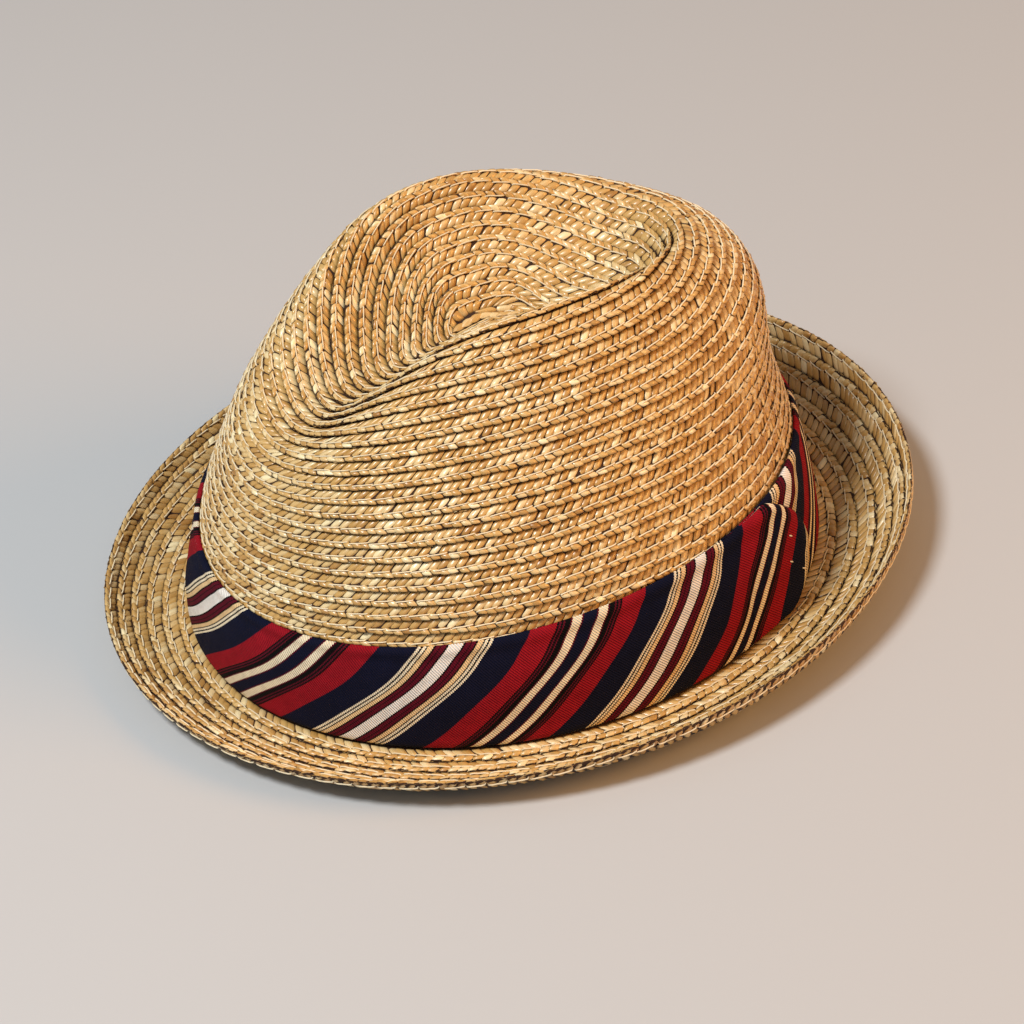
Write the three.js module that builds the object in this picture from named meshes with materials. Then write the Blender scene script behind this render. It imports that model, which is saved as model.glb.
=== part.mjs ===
import * as THREE from "three";
import { LoftGeometry } from "three/addons/geometries/LoftGeometry.js";

// A sewn straw fedora: a creased crown, a short brim that curls up all round, and a striped
// cloth band with a folded end. Millimetres, +Z up, resting on z = 0. The front looks along -Y
// and the wearer's left is +X. A turn is an angle round the hat, in degrees: 0 is the middle of
// the back, 90 the left side, 180 the front and 270 the right side.

// Wall thicknesses, and the gap that neighbouring pieces keep
const STRAW_THICKNESS = 1.8;
const CLOTH_THICKNESS = 1.2;
const PIECE_GAP = 0.3;

// Ovals seen from above: the headline, where crown and brim meet, and the rim of the brim. front
// and back are an oval's ends along Y.
const HEADLINE = { halfWidth: 85, front: -101.8, back: 95.8 };
const RIM = { halfWidth: 110.5, front: -127.4, back: 125.4 };

// Height of the headline above the surface that the brim rests on
const HEADLINE_HEIGHT = 2.1;

// The brim leaves the headline a little downwards and is an arc from there to the rim, which
// stands above the headline by the rise
const BREAK_SLOPE = THREE.MathUtils.degToRad(-12);
const RIM_RISE = { mean: 13.5, backGain: 6.3, endGain: 0.4 };

// Rings of the crown from the headline over the ridges and down into the crease: ovals seen from
// above, with their heights over the headline at the sides, the front and the back, their shares
// of the twist and of the pinches, and how far their back leans to the left
const CROWN_RINGS = [
  {
    at: "headline", ...HEADLINE,
    zSide: PIECE_GAP, zFront: PIECE_GAP, zBack: PIECE_GAP, twist: 0, pinch: 0, lean: 0,
  },
  {
    at: "band_top", halfWidth: 78, front: -94.5, back: 88.5,
    zSide: 40, zFront: 35, zBack: 41, twist: 0, pinch: 0, lean: 0,
  },
  {
    at: "wall_low", halfWidth: 70, front: -89, back: 84,
    zSide: 60, zFront: 51, zBack: 60, twist: 0.4, pinch: 0.2, lean: 0,
  },
  {
    at: "wall_high", halfWidth: 58.5, front: -83, back: 82.5,
    zSide: 82.5, zFront: 66.5, zBack: 83, twist: 0.8, pinch: 0.75, lean: 0,
  },
  {
    at: "shoulder", halfWidth: 47.5, front: -74, back: 73,
    zSide: 102.5, zFront: 75.5, zBack: 96, twist: 1, pinch: 1, lean: 0,
  },
  {
    at: "ridge", halfWidth: 37.5, front: -61, back: 58,
    zSide: 113, zFront: 79.5, zBack: 103.5, twist: 1, pinch: 0.3, lean: 0,
  },
  {
    at: "crease_side", halfWidth: 27, front: -44, back: 42,
    zSide: 105, zFront: 82, zBack: 96, twist: 1, pinch: 0, lean: 11,
  },
  {
    at: "crease_floor", halfWidth: 10, front: -24, back: 21,
    zSide: 94, zFront: 85.5, zBack: 90, twist: 0.5, pinch: 0, lean: 10,
  },
  {
    at: "tip", halfWidth: 0, front: -2, back: -2,
    zSide: 90.5, zFront: 90.5, zBack: 90.5, twist: 0, pinch: 0, lean: 0,
  },
];

// Pressing by hand leaves the right ridge higher towards the front than towards the back
const RIGHT_TWIST = { middleTurn: 292, halfSpan: 60, lift: 1.6 };

// Dents that fingers leave under the front of each ridge, deepest at these turns
const PINCHES = [
  { turn: 122, depth: 4 },
  { turn: 238, depth: 1.2 },
];
const PINCH_SPREAD = 24; // degrees of turn

// How sharply a ring's height changes towards the front, where the crease opens, and the back
const FRONT_SHARPNESS = 2.8;
const BACK_SHARPNESS = 2;

// The band's upper edge above the headline, and how far its cloth puffs out below that edge
const BAND_TOP = { mean: 36.5, backGain: 5, endGain: -2 };
const BAND_PUFF = 0.9;

// Soft folds across the band, on the bias of its stripes: a positive depth stands out
const BAND_FOLDS = [
  { turn: 66, depth: 0.5, spread: 7 },
  { turn: 92, depth: -0.4, spread: 9 },
  { turn: 118, depth: 0.5, spread: 8 },
  { turn: 143, depth: -0.4, spread: 7 },
  { turn: 163, depth: 0.7, spread: 6 },
  { turn: 181, depth: -0.5, spread: 5 },
  { turn: 196, depth: 0.8, spread: 6 },
  { turn: 236, depth: 0.4, spread: 9 },
  { turn: 288, depth: -0.4, spread: 9 },
  { turn: 335, depth: 0.4, spread: 8 },
];
const FOLD_LEAN = 18; // degrees of turn from the lower edge of the band to the upper

// The folded end of the band: its back edge is a soft fold that leaves the corners, bulges backwards
// to the fold's turn a little below mid-height and is thickest there
const BAND_END = { cornerTurn: 56.5, foldTurn: 46, frontTurn: 68 };
const END_THICKNESS = { corner: 1.4, fold: 3.4, front: 0.6 };
const FOLD_LOWNESS = 0.85;
const FOLD_ROUNDNESS = 0.75;

// Facets
const TURN_STEPS = 64;
const CROWN_ROWS = 26;
const BRIM_ROWS = 10;
const BAND_ROWS = 5;
const END_ROWS = 10;
const END_STEPS = 6;

// Search for a height on the crown's wall
const RISING_SHARE = 0.5;
const WALL_HALVINGS = 30;

const STRAW = { color: 0xc99a55, roughness: 0.6, metalness: 0 };
const STRIPED_CLOTH = { color: 0x5a1826, roughness: 0.85, metalness: 0 };

const steps = (count) => Array.from({ length: count + 1 }, (_, i) => i / count);
const turns = steps(TURN_STEPS).map((share) => share * 360);
const across = (turn) => Math.sin(THREE.MathUtils.degToRad(turn));
const along = (turn) => Math.cos(THREE.MathUtils.degToRad(turn));

function ovalPoint({ halfWidth, front, back }, turn, z) {
  const middle = (back + front) / 2;
  const halfLength = (back - front) / 2;
  return new THREE.Vector3(halfWidth * across(turn), middle + halfLength * along(turn), z);
}

// The way an oval runs at a turn, and the way out of it
function ovalDirection({ halfWidth, front, back }, turn) {
  const halfLength = (back - front) / 2;
  return new THREE.Vector3(halfWidth * along(turn), -halfLength * across(turn), 0).normalize();
}

function ovalOutwards(oval, turn) {
  const { x, y } = ovalDirection(oval, turn);
  return new THREE.Vector3(-y, x, 0);
}

// Height of an edge that goes round the hat: backGain lifts the back and drops the front, and
// endGain lifts both against the sides
const heightAt = (edge, turn) =>
  edge.mean + edge.backGain * along(turn) + edge.endGain * along(2 * turn);

// Outside of the crown

// How far the twist lifts the right ridge at a turn
function twistAt(turn) {
  const share = (turn - RIGHT_TWIST.middleTurn) / RIGHT_TWIST.halfSpan;
  return Math.abs(share) < 1 ? -RIGHT_TWIST.lift * Math.sin(Math.PI * share) : 0;
}

// How deep the pinches are at a turn
function pinchAt(turn) {
  const depths = PINCHES.map((pinch) => pinch.depth * Math.exp(-(((turn - pinch.turn) / PINCH_SPREAD) ** 2)));
  return depths.reduce((sum, depth) => sum + depth, 0);
}

function ringPoint(ring, turn) {
  const toFront = Math.max(0, -along(turn)) ** FRONT_SHARPNESS;
  const toBack = Math.max(0, along(turn)) ** BACK_SHARPNESS;
  const level = ring.zSide + (ring.zFront - ring.zSide) * toFront + (ring.zBack - ring.zSide) * toBack;
  const point = ovalPoint(ring, turn, level + ring.twist * twistAt(turn));
  point.x += ring.lean * Math.max(0, along(turn));
  return point.addScaledVector(ovalOutwards(ring, turn), -ring.pinch * pinchAt(turn));
}

// The curve over the crown at one turn, from the headline to the tip
function meridian(turn) {
  const points = CROWN_RINGS.map((ring) => ringPoint(ring, turn));
  return new THREE.CatmullRomCurve3(points, false, "centripetal");
}

// Outward normals of one of the rings round the crown: level at the headline, upright at the tip
function ringNormals(rings, row) {
  const ring = rings[row];
  if (row === rings.length - 1) return ring.map(() => new THREE.Vector3(0, 0, 1));
  const above = rings[row + 1];
  const below = rings[Math.max(row - 1, 0)];
  return ring.map((_, i) => {
    const round = ring.at((i + 1) % ring.length).clone().sub(ring.at(i - 1));
    const up = above[i].clone().sub(below[i]);
    const normal = up.cross(round);
    if (row === 0) normal.z = 0;
    return normal.normalize();
  });
}

function buildCrown() {
  const meridians = turns.slice(0, -1).map(meridian);
  const outer = steps(CROWN_ROWS).map((share) => meridians.map((curve) => curve.getPointAt(share)));
  const inner = outer.map((ring, row) => {
    const normals = ringNormals(outer, row);
    return ring.map((point, i) => point.clone().addScaledVector(normals[i], -STRAW_THICKNESS));
  });
  const rings = [...inner.reverse(), ...outer];
  return new LoftGeometry(rings.map((ring) => ring.reverse()));
}

// Brim: one closed section at each turn, its under face outwards and its upper face back

function brimSection(turn) {
  const hole = {
    halfWidth: HEADLINE.halfWidth - STRAW_THICKNESS,
    front: HEADLINE.front + STRAW_THICKNESS,
    back: HEADLINE.back - STRAW_THICKNESS,
  };
  const start = ovalPoint(HEADLINE, turn, 0);
  const outwards = ovalPoint(RIM, turn, 0).sub(start);
  const reach = outwards.length();
  outwards.normalize();
  const rise = heightAt(RIM_RISE, turn);
  const rimSlope = 2 * Math.atan2(rise, reach) - BREAK_SLOPE;
  const radius = Math.hypot(reach, rise) / (2 * Math.sin((rimSlope - BREAK_SLOPE) / 2));

  const arcPoint = (share, depth) => {
    const slope = THREE.MathUtils.lerp(BREAK_SLOPE, rimSlope, share);
    const out = (radius + depth) * Math.sin(slope) - radius * Math.sin(BREAK_SLOPE);
    const z = radius * Math.cos(BREAK_SLOPE) - (radius + depth) * Math.cos(slope);
    return start.clone().addScaledVector(outwards, out).setZ(Math.max(z, -HEADLINE_HEIGHT));
  };
  const upper = steps(BRIM_ROWS).map((share) => arcPoint(share, 0));
  const under = steps(BRIM_ROWS).map((share) => arcPoint(share, STRAW_THICKNESS));
  return [
    ovalPoint(hole, turn, -STRAW_THICKNESS),
    ...under,
    ...upper.reverse(),
    ovalPoint(hole, turn, 0),
  ];
}

function buildBrim() {
  return new LoftGeometry(turns.map((turn) => brimSection(turn)));
}

// Band: the crown's wall at each turn up to the band's edge, with the cloth laid on it

// The point of the crown's wall at a height, and its outward normal there, found by halving the
// part of the meridian that rises all the way
function wallAt(turn, z) {
  const curve = meridian(turn);
  let low = 0;
  let high = RISING_SHARE;
  for (let halving = 0; halving < WALL_HALVINGS; halving += 1) {
    const middle = (low + high) / 2;
    if (curve.getPoint(middle).z < z) low = middle;
    else high = middle;
  }
  const normal = curve.getTangent(low).cross(ovalDirection(HEADLINE, turn)).normalize();
  return { point: curve.getPoint(low), normal };
}

// How far the outside of the cloth stands off the crown, at a turn and a share of the band's height
function bandSurface(turn, share) {
  const folds = BAND_FOLDS.reduce((sum, fold) => {
    const lean = FOLD_LEAN * (share - 0.5);
    const distance = THREE.MathUtils.euclideanModulo(turn - fold.turn + lean + 180, 360) - 180;
    return sum + fold.depth * Math.exp(-((distance / fold.spread) ** 2));
  }, 0);
  const puff = (BAND_PUFF + folds) * Math.sin(Math.PI * share);
  return PIECE_GAP + CLOTH_THICKNESS + Math.max(puff, 0);
}

function bandPoint(turn, share, standOff) {
  const bottom = 2 * PIECE_GAP;
  const z = THREE.MathUtils.lerp(bottom, heightAt(BAND_TOP, turn), share);
  const { point, normal } = wallAt(turn, z);
  return point.addScaledVector(normal, standOff);
}

function bandSection(turn) {
  const shares = steps(BAND_ROWS);
  const inside = shares.map((share) => bandPoint(turn, share, PIECE_GAP));
  const outside = shares.map((share) => bandPoint(turn, share, bandSurface(turn, share)));
  return [...outside, ...inside.reverse()];
}

function buildHatBand() {
  return new LoftGeometry(turns.map((turn) => bandSection(turn)));
}

// Folded end of the band: a closed section at each share of the band's height

function bandEndSection(share) {
  const bulge = Math.max(Math.sin(Math.PI * share ** FOLD_LOWNESS), 0) ** FOLD_ROUNDNESS;
  const backTurn = THREE.MathUtils.lerp(BAND_END.cornerTurn, BAND_END.foldTurn, bulge);
  const backThickness = THREE.MathUtils.lerp(END_THICKNESS.corner, END_THICKNESS.fold, bulge);
  const shares = steps(END_STEPS);
  const face = (thicknessAt) =>
    shares.map((step) => {
      const turn = THREE.MathUtils.lerp(backTurn, BAND_END.frontTurn, step);
      const standOff = bandSurface(turn, share) + PIECE_GAP + thicknessAt(step);
      return bandPoint(turn, share, standOff);
    });
  const thickness = (step) => THREE.MathUtils.lerp(backThickness, END_THICKNESS.front, step);
  return [...face(() => 0), ...face(thickness).reverse()];
}

function buildBandEnd() {
  return new LoftGeometry(steps(END_ROWS).map(bandEndSection), { capStart: true, capEnd: true });
}

function piece(name, geometry, finish) {
  const mesh = new THREE.Mesh(geometry, new THREE.MeshStandardMaterial(finish));
  mesh.name = name;
  return mesh;
}

const pieces = new THREE.Group();
pieces.add(
  piece("crown", buildCrown(), STRAW),
  piece("brim", buildBrim(), STRAW),
  piece("hat_band", buildHatBand(), STRIPED_CLOTH),
  piece("band_end", buildBandEnd(), STRIPED_CLOTH),
);

// The origin is under the middle of the whole hat, on the surface that it rests on
const middle = new THREE.Box3().setFromObject(pieces).getCenter(new THREE.Vector3());
pieces.position.set(-middle.x, -middle.y, HEADLINE_HEIGHT);

const hat = new THREE.Group();
hat.add(pieces);

export default hat;
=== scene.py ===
"""A sewn straw fedora: lapped rows of plaited straw, and a striped cloth band with a folded end.

Sizes are millimetres in the hat's shapes, and metres in the meshes, the finishes and the studio.
+Z is up, the front looks along -Y and the wearer's left is +X. A turn is an angle round the hat,
in degrees: 0 is the middle of the back, 90 the left side, 180 the front and 270 the right side. A
row is one round of the braid, and a place across a row goes from 0 at its inner edge to 1 at its
outer one.
"""

import logging
import math
from abc import ABC, abstractmethod
from collections.abc import Callable
from dataclasses import dataclass, field, replace
from enum import Enum
from functools import partial

import bmesh
import bpy
import numpy as np
from mathutils import Matrix, Vector

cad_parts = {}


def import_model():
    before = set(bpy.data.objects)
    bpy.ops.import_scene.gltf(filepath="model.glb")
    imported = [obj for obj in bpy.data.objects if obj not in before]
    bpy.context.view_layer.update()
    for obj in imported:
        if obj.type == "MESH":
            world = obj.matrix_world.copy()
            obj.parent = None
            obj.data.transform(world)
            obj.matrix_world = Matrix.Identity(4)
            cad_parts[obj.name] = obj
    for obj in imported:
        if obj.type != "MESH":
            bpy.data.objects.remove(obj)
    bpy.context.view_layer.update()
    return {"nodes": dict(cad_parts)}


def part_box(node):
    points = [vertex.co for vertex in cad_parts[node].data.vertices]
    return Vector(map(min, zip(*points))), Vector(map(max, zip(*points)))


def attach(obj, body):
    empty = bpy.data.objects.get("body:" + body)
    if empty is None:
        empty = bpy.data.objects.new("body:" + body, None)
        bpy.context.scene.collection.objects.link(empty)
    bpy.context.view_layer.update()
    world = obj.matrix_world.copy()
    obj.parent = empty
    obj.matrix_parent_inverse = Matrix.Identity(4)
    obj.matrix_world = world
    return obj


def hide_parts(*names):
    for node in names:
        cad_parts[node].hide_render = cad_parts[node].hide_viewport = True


LOG = logging.getLogger("straw_fedora")
MILLIMETRE = 0.001
PIECE_GAP = 0.3
FLOOR_CLEARANCE = 0.02
MERGE_DISTANCE = 1e-6
THREAD_SIDES = 6
THREAD_PATTERN_LENGTH = 4.0
THREAD_TONE = 0.8

Colour = tuple[float, float, float, float]
Bend = Callable[[np.ndarray, np.ndarray], np.ndarray]


class Slot(Enum):
    """The hat's two kinds of material, by which main groups its pieces."""

    STRAW = "straw"
    BAND_CLOTH = "band_cloth"


class Face(Enum):
    """Which face of the braid a straw lies on."""

    OUTER = 1
    INNER = -1


def linear(red: int, green: int, blue: int) -> Colour:
    """Turns a colour as seen on a screen into the linear one that shaders use.

    Args:
        red: Red from 0 to 255.
        green: Green from 0 to 255.
        blue: Blue from 0 to 255.

    Returns:
        The linear colour with full alpha.
    """
    shares = [value / 255 for value in (red, green, blue)]
    curve = [s / 12.92 if s <= 0.04045 else ((s + 0.055) / 1.055) ** 2.4 for s in shares]
    return (curve[0], curve[1], curve[2], 1.0)


def unit(vectors: np.ndarray) -> np.ndarray:
    """Scales vectors to a length of 1, leaving vectors of no length alone."""
    return vectors / np.maximum(np.linalg.norm(vectors, axis=-1, keepdims=True), 1e-9)


def bell(distance: np.ndarray) -> np.ndarray:
    """Gives a smooth bump of height 1 at no distance."""
    return np.exp(-(distance**2))


def smooth_step(share: np.ndarray) -> np.ndarray:
    """Eases shares from 0 to 1 in and out."""
    return share**2 * (3 - 2 * share)


def turn_gap(turn: np.ndarray, other: np.ndarray | float) -> np.ndarray:
    """Gives the shorter way round from one turn to another, in degrees."""
    return np.mod(turn - other + 180, 360) - 180


def nearest(share: np.ndarray, count: int) -> np.ndarray:
    """Turns shares from 0 to 1 into the nearest of a number of entries."""
    return np.rint(share * (count - 1)).astype(int)


def everywhere(points: np.ndarray) -> np.ndarray:
    """Says of each point that it is kept."""
    return np.ones(len(points), dtype=bool)


def dress(pieces: list[bpy.types.Object], material: bpy.types.Material) -> None:
    """Gives pieces their material."""
    for piece in pieces:
        piece.data.materials.append(material)


def new_object(name: str, mesh: bpy.types.Mesh) -> bpy.types.Object:
    """Links a mesh to the scene as an object at the origin.

    Args:
        name: The piece's name.
        mesh: The mesh, in metres.

    Returns:
        The new object.
    """
    piece = bpy.data.objects.new(name, mesh)
    bpy.context.scene.collection.objects.link(piece)
    return piece


def bent_grids(name: str, columns: int, rows: int, bends: list[tuple[Bend, Bend]]) -> bpy.types.Object:
    """Makes flat grids, bends each to a surface, and joins the edges that then meet.

    Args:
        name: The piece's name.
        columns: Steps along each grid's first share.
        rows: Steps along each grid's second share.
        bends: For each grid, what gives its points in millimetres and what gives its own flat
            coordinates, both for two arrays of shares from 0 to 1.

    Returns:
        The object, smooth shaded, with its open ends closed.
    """
    grid = bmesh.new()
    laid = grid.loops.layers.uv.new("laid")
    for place, lay in bends:
        old_faces = len(grid.faces)
        verts = bmesh.ops.create_grid(
            grid, x_segments=columns, y_segments=rows, size=0.5, calc_uvs=True
        )["verts"]
        shares = np.array([vert.co[:2] for vert in verts]) + 0.5
        for vert, point in zip(verts, place(shares[:, 0], shares[:, 1]) * MILLIMETRE):
            vert.co = point
        grid.faces.ensure_lookup_table()
        loops = [loop for face in grid.faces[old_faces:] for loop in face.loops]
        shares = np.array([loop[laid].uv[:] for loop in loops])
        for loop, spot in zip(loops, lay(shares[:, 0], shares[:, 1])):
            loop[laid].uv = spot
    bmesh.ops.remove_doubles(grid, verts=grid.verts, dist=MERGE_DISTANCE)
    bmesh.ops.holes_fill(grid, edges=[edge for edge in grid.edges if edge.is_boundary], sides=0)
    bmesh.ops.recalc_face_normals(grid, faces=grid.faces)
    for face in grid.faces:
        face.smooth = True
    mesh = bpy.data.meshes.new(name)
    grid.to_mesh(mesh)
    grid.free()
    return new_object(name, mesh)


@dataclass
class Patches:
    """Many small patches of the same layout.

    points holds millimetres as patches by rows by columns by 3, and outward the way that each
    patch faces. laid holds each point's own flat coordinates. tone is a number from 0 to 1 for
    each patch. The last field holds one number for each point, low where it lies sunk between its
    neighbours, where the material paints shade.
    """

    points: np.ndarray
    outward: np.ndarray
    laid: np.ndarray
    tone: np.ndarray
    unshaded: np.ndarray

    def _quads(self) -> np.ndarray:
        """Lists the corners of every face, wound so that the patches face outwards.

        Returns:
            Faces by 4 corners.
        """
        count, rows, columns = self.points.shape[:3]
        index = np.arange(rows * columns).reshape(rows, columns)
        corners = [index[:-1, :-1], index[:-1, 1:], index[1:, 1:], index[1:, :-1]]
        quads = np.stack(corners, -1).reshape(-1, 4)
        row, column = rows // 2, columns // 2
        along = self.points[:, row, column] - self.points[:, row, column - 1]
        down = self.points[:, row, column] - self.points[:, row - 1, column]
        if np.mean(np.sum(np.cross(along, down) * self.outward, -1)) < 0:
            quads = quads[:, ::-1]
        starts = np.arange(count) * rows * columns
        return (quads[None] + starts[:, None, None]).reshape(-1, 4)

    def build(self, name: str) -> bpy.types.Object:
        """Joins the patches into one mesh.

        Args:
            name: The piece's name.

        Returns:
            The object, smooth shaded, with two attributes: tone, and the mask of the painted shade between
            straws.
        """
        faces = self._quads()
        corners = faces.ravel()
        mesh = bpy.data.meshes.new(name)
        mesh.vertices.add(self.points.size // 3)
        mesh.vertices.foreach_set("co", (self.points * MILLIMETRE).ravel())
        mesh.loops.add(corners.size)
        mesh.loops.foreach_set("vertex_index", corners.astype(np.int32))
        mesh.polygons.add(len(faces))
        mesh.polygons.foreach_set("loop_start", np.arange(0, corners.size, 4, dtype=np.int32))
        mesh.polygons.foreach_set("use_smooth", np.ones(len(faces), dtype=bool))
        mesh.update(calc_edges=True)
        layer = mesh.uv_layers.new(name="laid")
        layer.data.foreach_set("uv", self.laid.reshape(-1, 2)[corners].ravel())
        tone = np.broadcast_to(self.tone[:, None, None], self.points.shape[:3])
        for label, values in (("tone", tone), ("unshaded", self.unshaded)):
            attribute = mesh.attributes.new(label, "FLOAT", "POINT")
            attribute.data.foreach_set("value", np.ascontiguousarray(values).ravel())
        mesh.validate()
        return new_object(name, mesh)


def threads(name: str, middle: np.ndarray, normal: np.ndarray, radius: float) -> bpy.types.Object:
    """Makes short lengths of thread.

    Args:
        name: The piece's name.
        middle: Points along each length, as lengths by points by 3.
        normal: The way out of the surface at each point.
        radius: The thread's radius.

    Returns:
        The piece.
    """
    tangent = unit(np.gradient(middle, axis=1))
    side = unit(np.cross(tangent, normal))
    upright = np.cross(side, tangent)
    angle = np.linspace(0, 2 * math.pi, THREAD_SIDES + 1)
    ring = np.cos(angle)[:, None] * upright[:, :, None] + np.sin(angle)[:, None] * side[:, :, None]
    points = middle[:, :, None] + radius * ring
    points[..., 2] = np.maximum(points[..., 2], FLOOR_CLEARANCE)
    count, length = middle.shape[:2]
    down = np.linspace(0, THREAD_PATTERN_LENGTH, length)[None, :, None] + np.arange(count)[:, None, None]
    layout = points.shape[:3]
    laid = np.stack([np.broadcast_to(angle, layout), np.broadcast_to(down, layout)], -1)
    outward = ring[:, length // 2, THREAD_SIDES // 2]
    return Patches(points, outward, laid, np.full(count, THREAD_TONE), np.ones(layout)).build(name)


# Forms


@dataclass(frozen=True)
class Oval:
    """An oval seen from above, with the ends that it has along Y."""

    half_width: float
    front: float
    back: float

    @property
    def half_length(self) -> float:
        """Half of the oval's length along Y."""
        return (self.back - self.front) / 2

    @property
    def middle(self) -> float:
        """The oval's middle along Y."""
        return (self.front + self.back) / 2

    def point(self, turn: np.ndarray, height: np.ndarray | float = 0.0) -> np.ndarray:
        """Gives the oval's points.

        Args:
            turn: Turns in degrees.
            height: Heights of the points.

        Returns:
            Points with a last axis of 3.
        """
        angle = np.radians(turn)
        y = self.middle + self.half_length * np.cos(angle)
        return np.stack([self.half_width * np.sin(angle), y, np.zeros_like(y) + height], -1)

    def outwards(self, turn: np.ndarray) -> np.ndarray:
        """Gives the level way out of the oval.

        Args:
            turn: Turns in degrees.

        Returns:
            Vectors of length 1.
        """
        angle = np.radians(turn)
        across = self.half_length * np.sin(angle)
        return unit(np.stack([across, self.half_width * np.cos(angle), np.zeros_like(across)], -1))


@dataclass(frozen=True)
class Ring(Oval):
    """A ring of the crown: an oval, its heights above the headline, and what bends it."""

    side_height: float
    front_height: float
    back_height: float
    twist: float
    pinch: float
    lean: float = 0.0


@dataclass(frozen=True)
class Pinch:
    """A dent that fingers leave under the front of a ridge: its turn and its depth."""

    turn: float
    depth: float


@dataclass(frozen=True)
class Edge:
    """Height of an edge round the hat: its mean, and what it gains at the back and at both ends."""

    mean: float
    back_gain: float
    end_gain: float

    def height(self, turn: np.ndarray) -> np.ndarray:
        """Gives the edge's height at each turn."""
        angle = np.radians(turn)
        return self.mean + self.back_gain * np.cos(angle) + self.end_gain * np.cos(2 * angle)


HEADLINE = Oval(85.0, -101.8, 95.8)
RIM = Oval(110.5, -127.4, 125.4)
# From the headline to the tip: half width, front and back, then the heights at the side, the front
# and the back, then the shares of the twist and of the pinches
CROWN_RINGS = (
    Ring(85.0, -101.8, 95.8, 0.3, 0.3, 0.3, 0.0, 0.0),
    Ring(78.0, -94.5, 88.5, 40.0, 35.0, 41.0, 0.0, 0.0),
    Ring(70.0, -89.0, 84.0, 60.0, 51.0, 60.0, 0.4, 0.2),
    Ring(58.5, -83.0, 82.5, 82.5, 66.5, 83.0, 0.8, 0.75),
    Ring(47.5, -74.0, 73.0, 102.5, 75.5, 96.0, 1.0, 1.0),
    Ring(37.5, -61.0, 58.0, 113.0, 79.5, 103.5, 1.0, 0.3),
    Ring(27.0, -44.0, 42.0, 105.0, 82.0, 96.0, 1.0, 0.0, lean=11.0),
    Ring(10.0, -24.0, 21.0, 94.0, 85.5, 90.0, 0.5, 0.0, lean=10.0),
    Ring(0.0, -4.0, -4.0, 88.0, 88.0, 88.0, 0.0, 0.0),
)


class StrawForm(ABC):
    """A surface that rows of braid are laid on."""

    @abstractmethod
    def locate(self, turn: np.ndarray, row: np.ndarray) -> tuple[np.ndarray, np.ndarray]:
        """Finds points of the surface.

        Args:
            turn: Turns in degrees.
            row: Rows from the inner end of the braid.

        Returns:
            The points and the outward normals there.
        """

    def lifted(self, turn: np.ndarray, row: np.ndarray, lift: np.ndarray) -> np.ndarray:
        """Finds points that stand off the surface.

        Args:
            turn: Turns in degrees.
            row: Rows from the inner end of the braid.
            lift: Distance off the surface.

        Returns:
            The points, none of them lower than the floor.
        """
        points, normals = self.locate(turn, row)
        points = points + normals * lift[..., None]
        points[..., 2] = np.maximum(points[..., 2], FLOOR_CLEARANCE)
        return points


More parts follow.
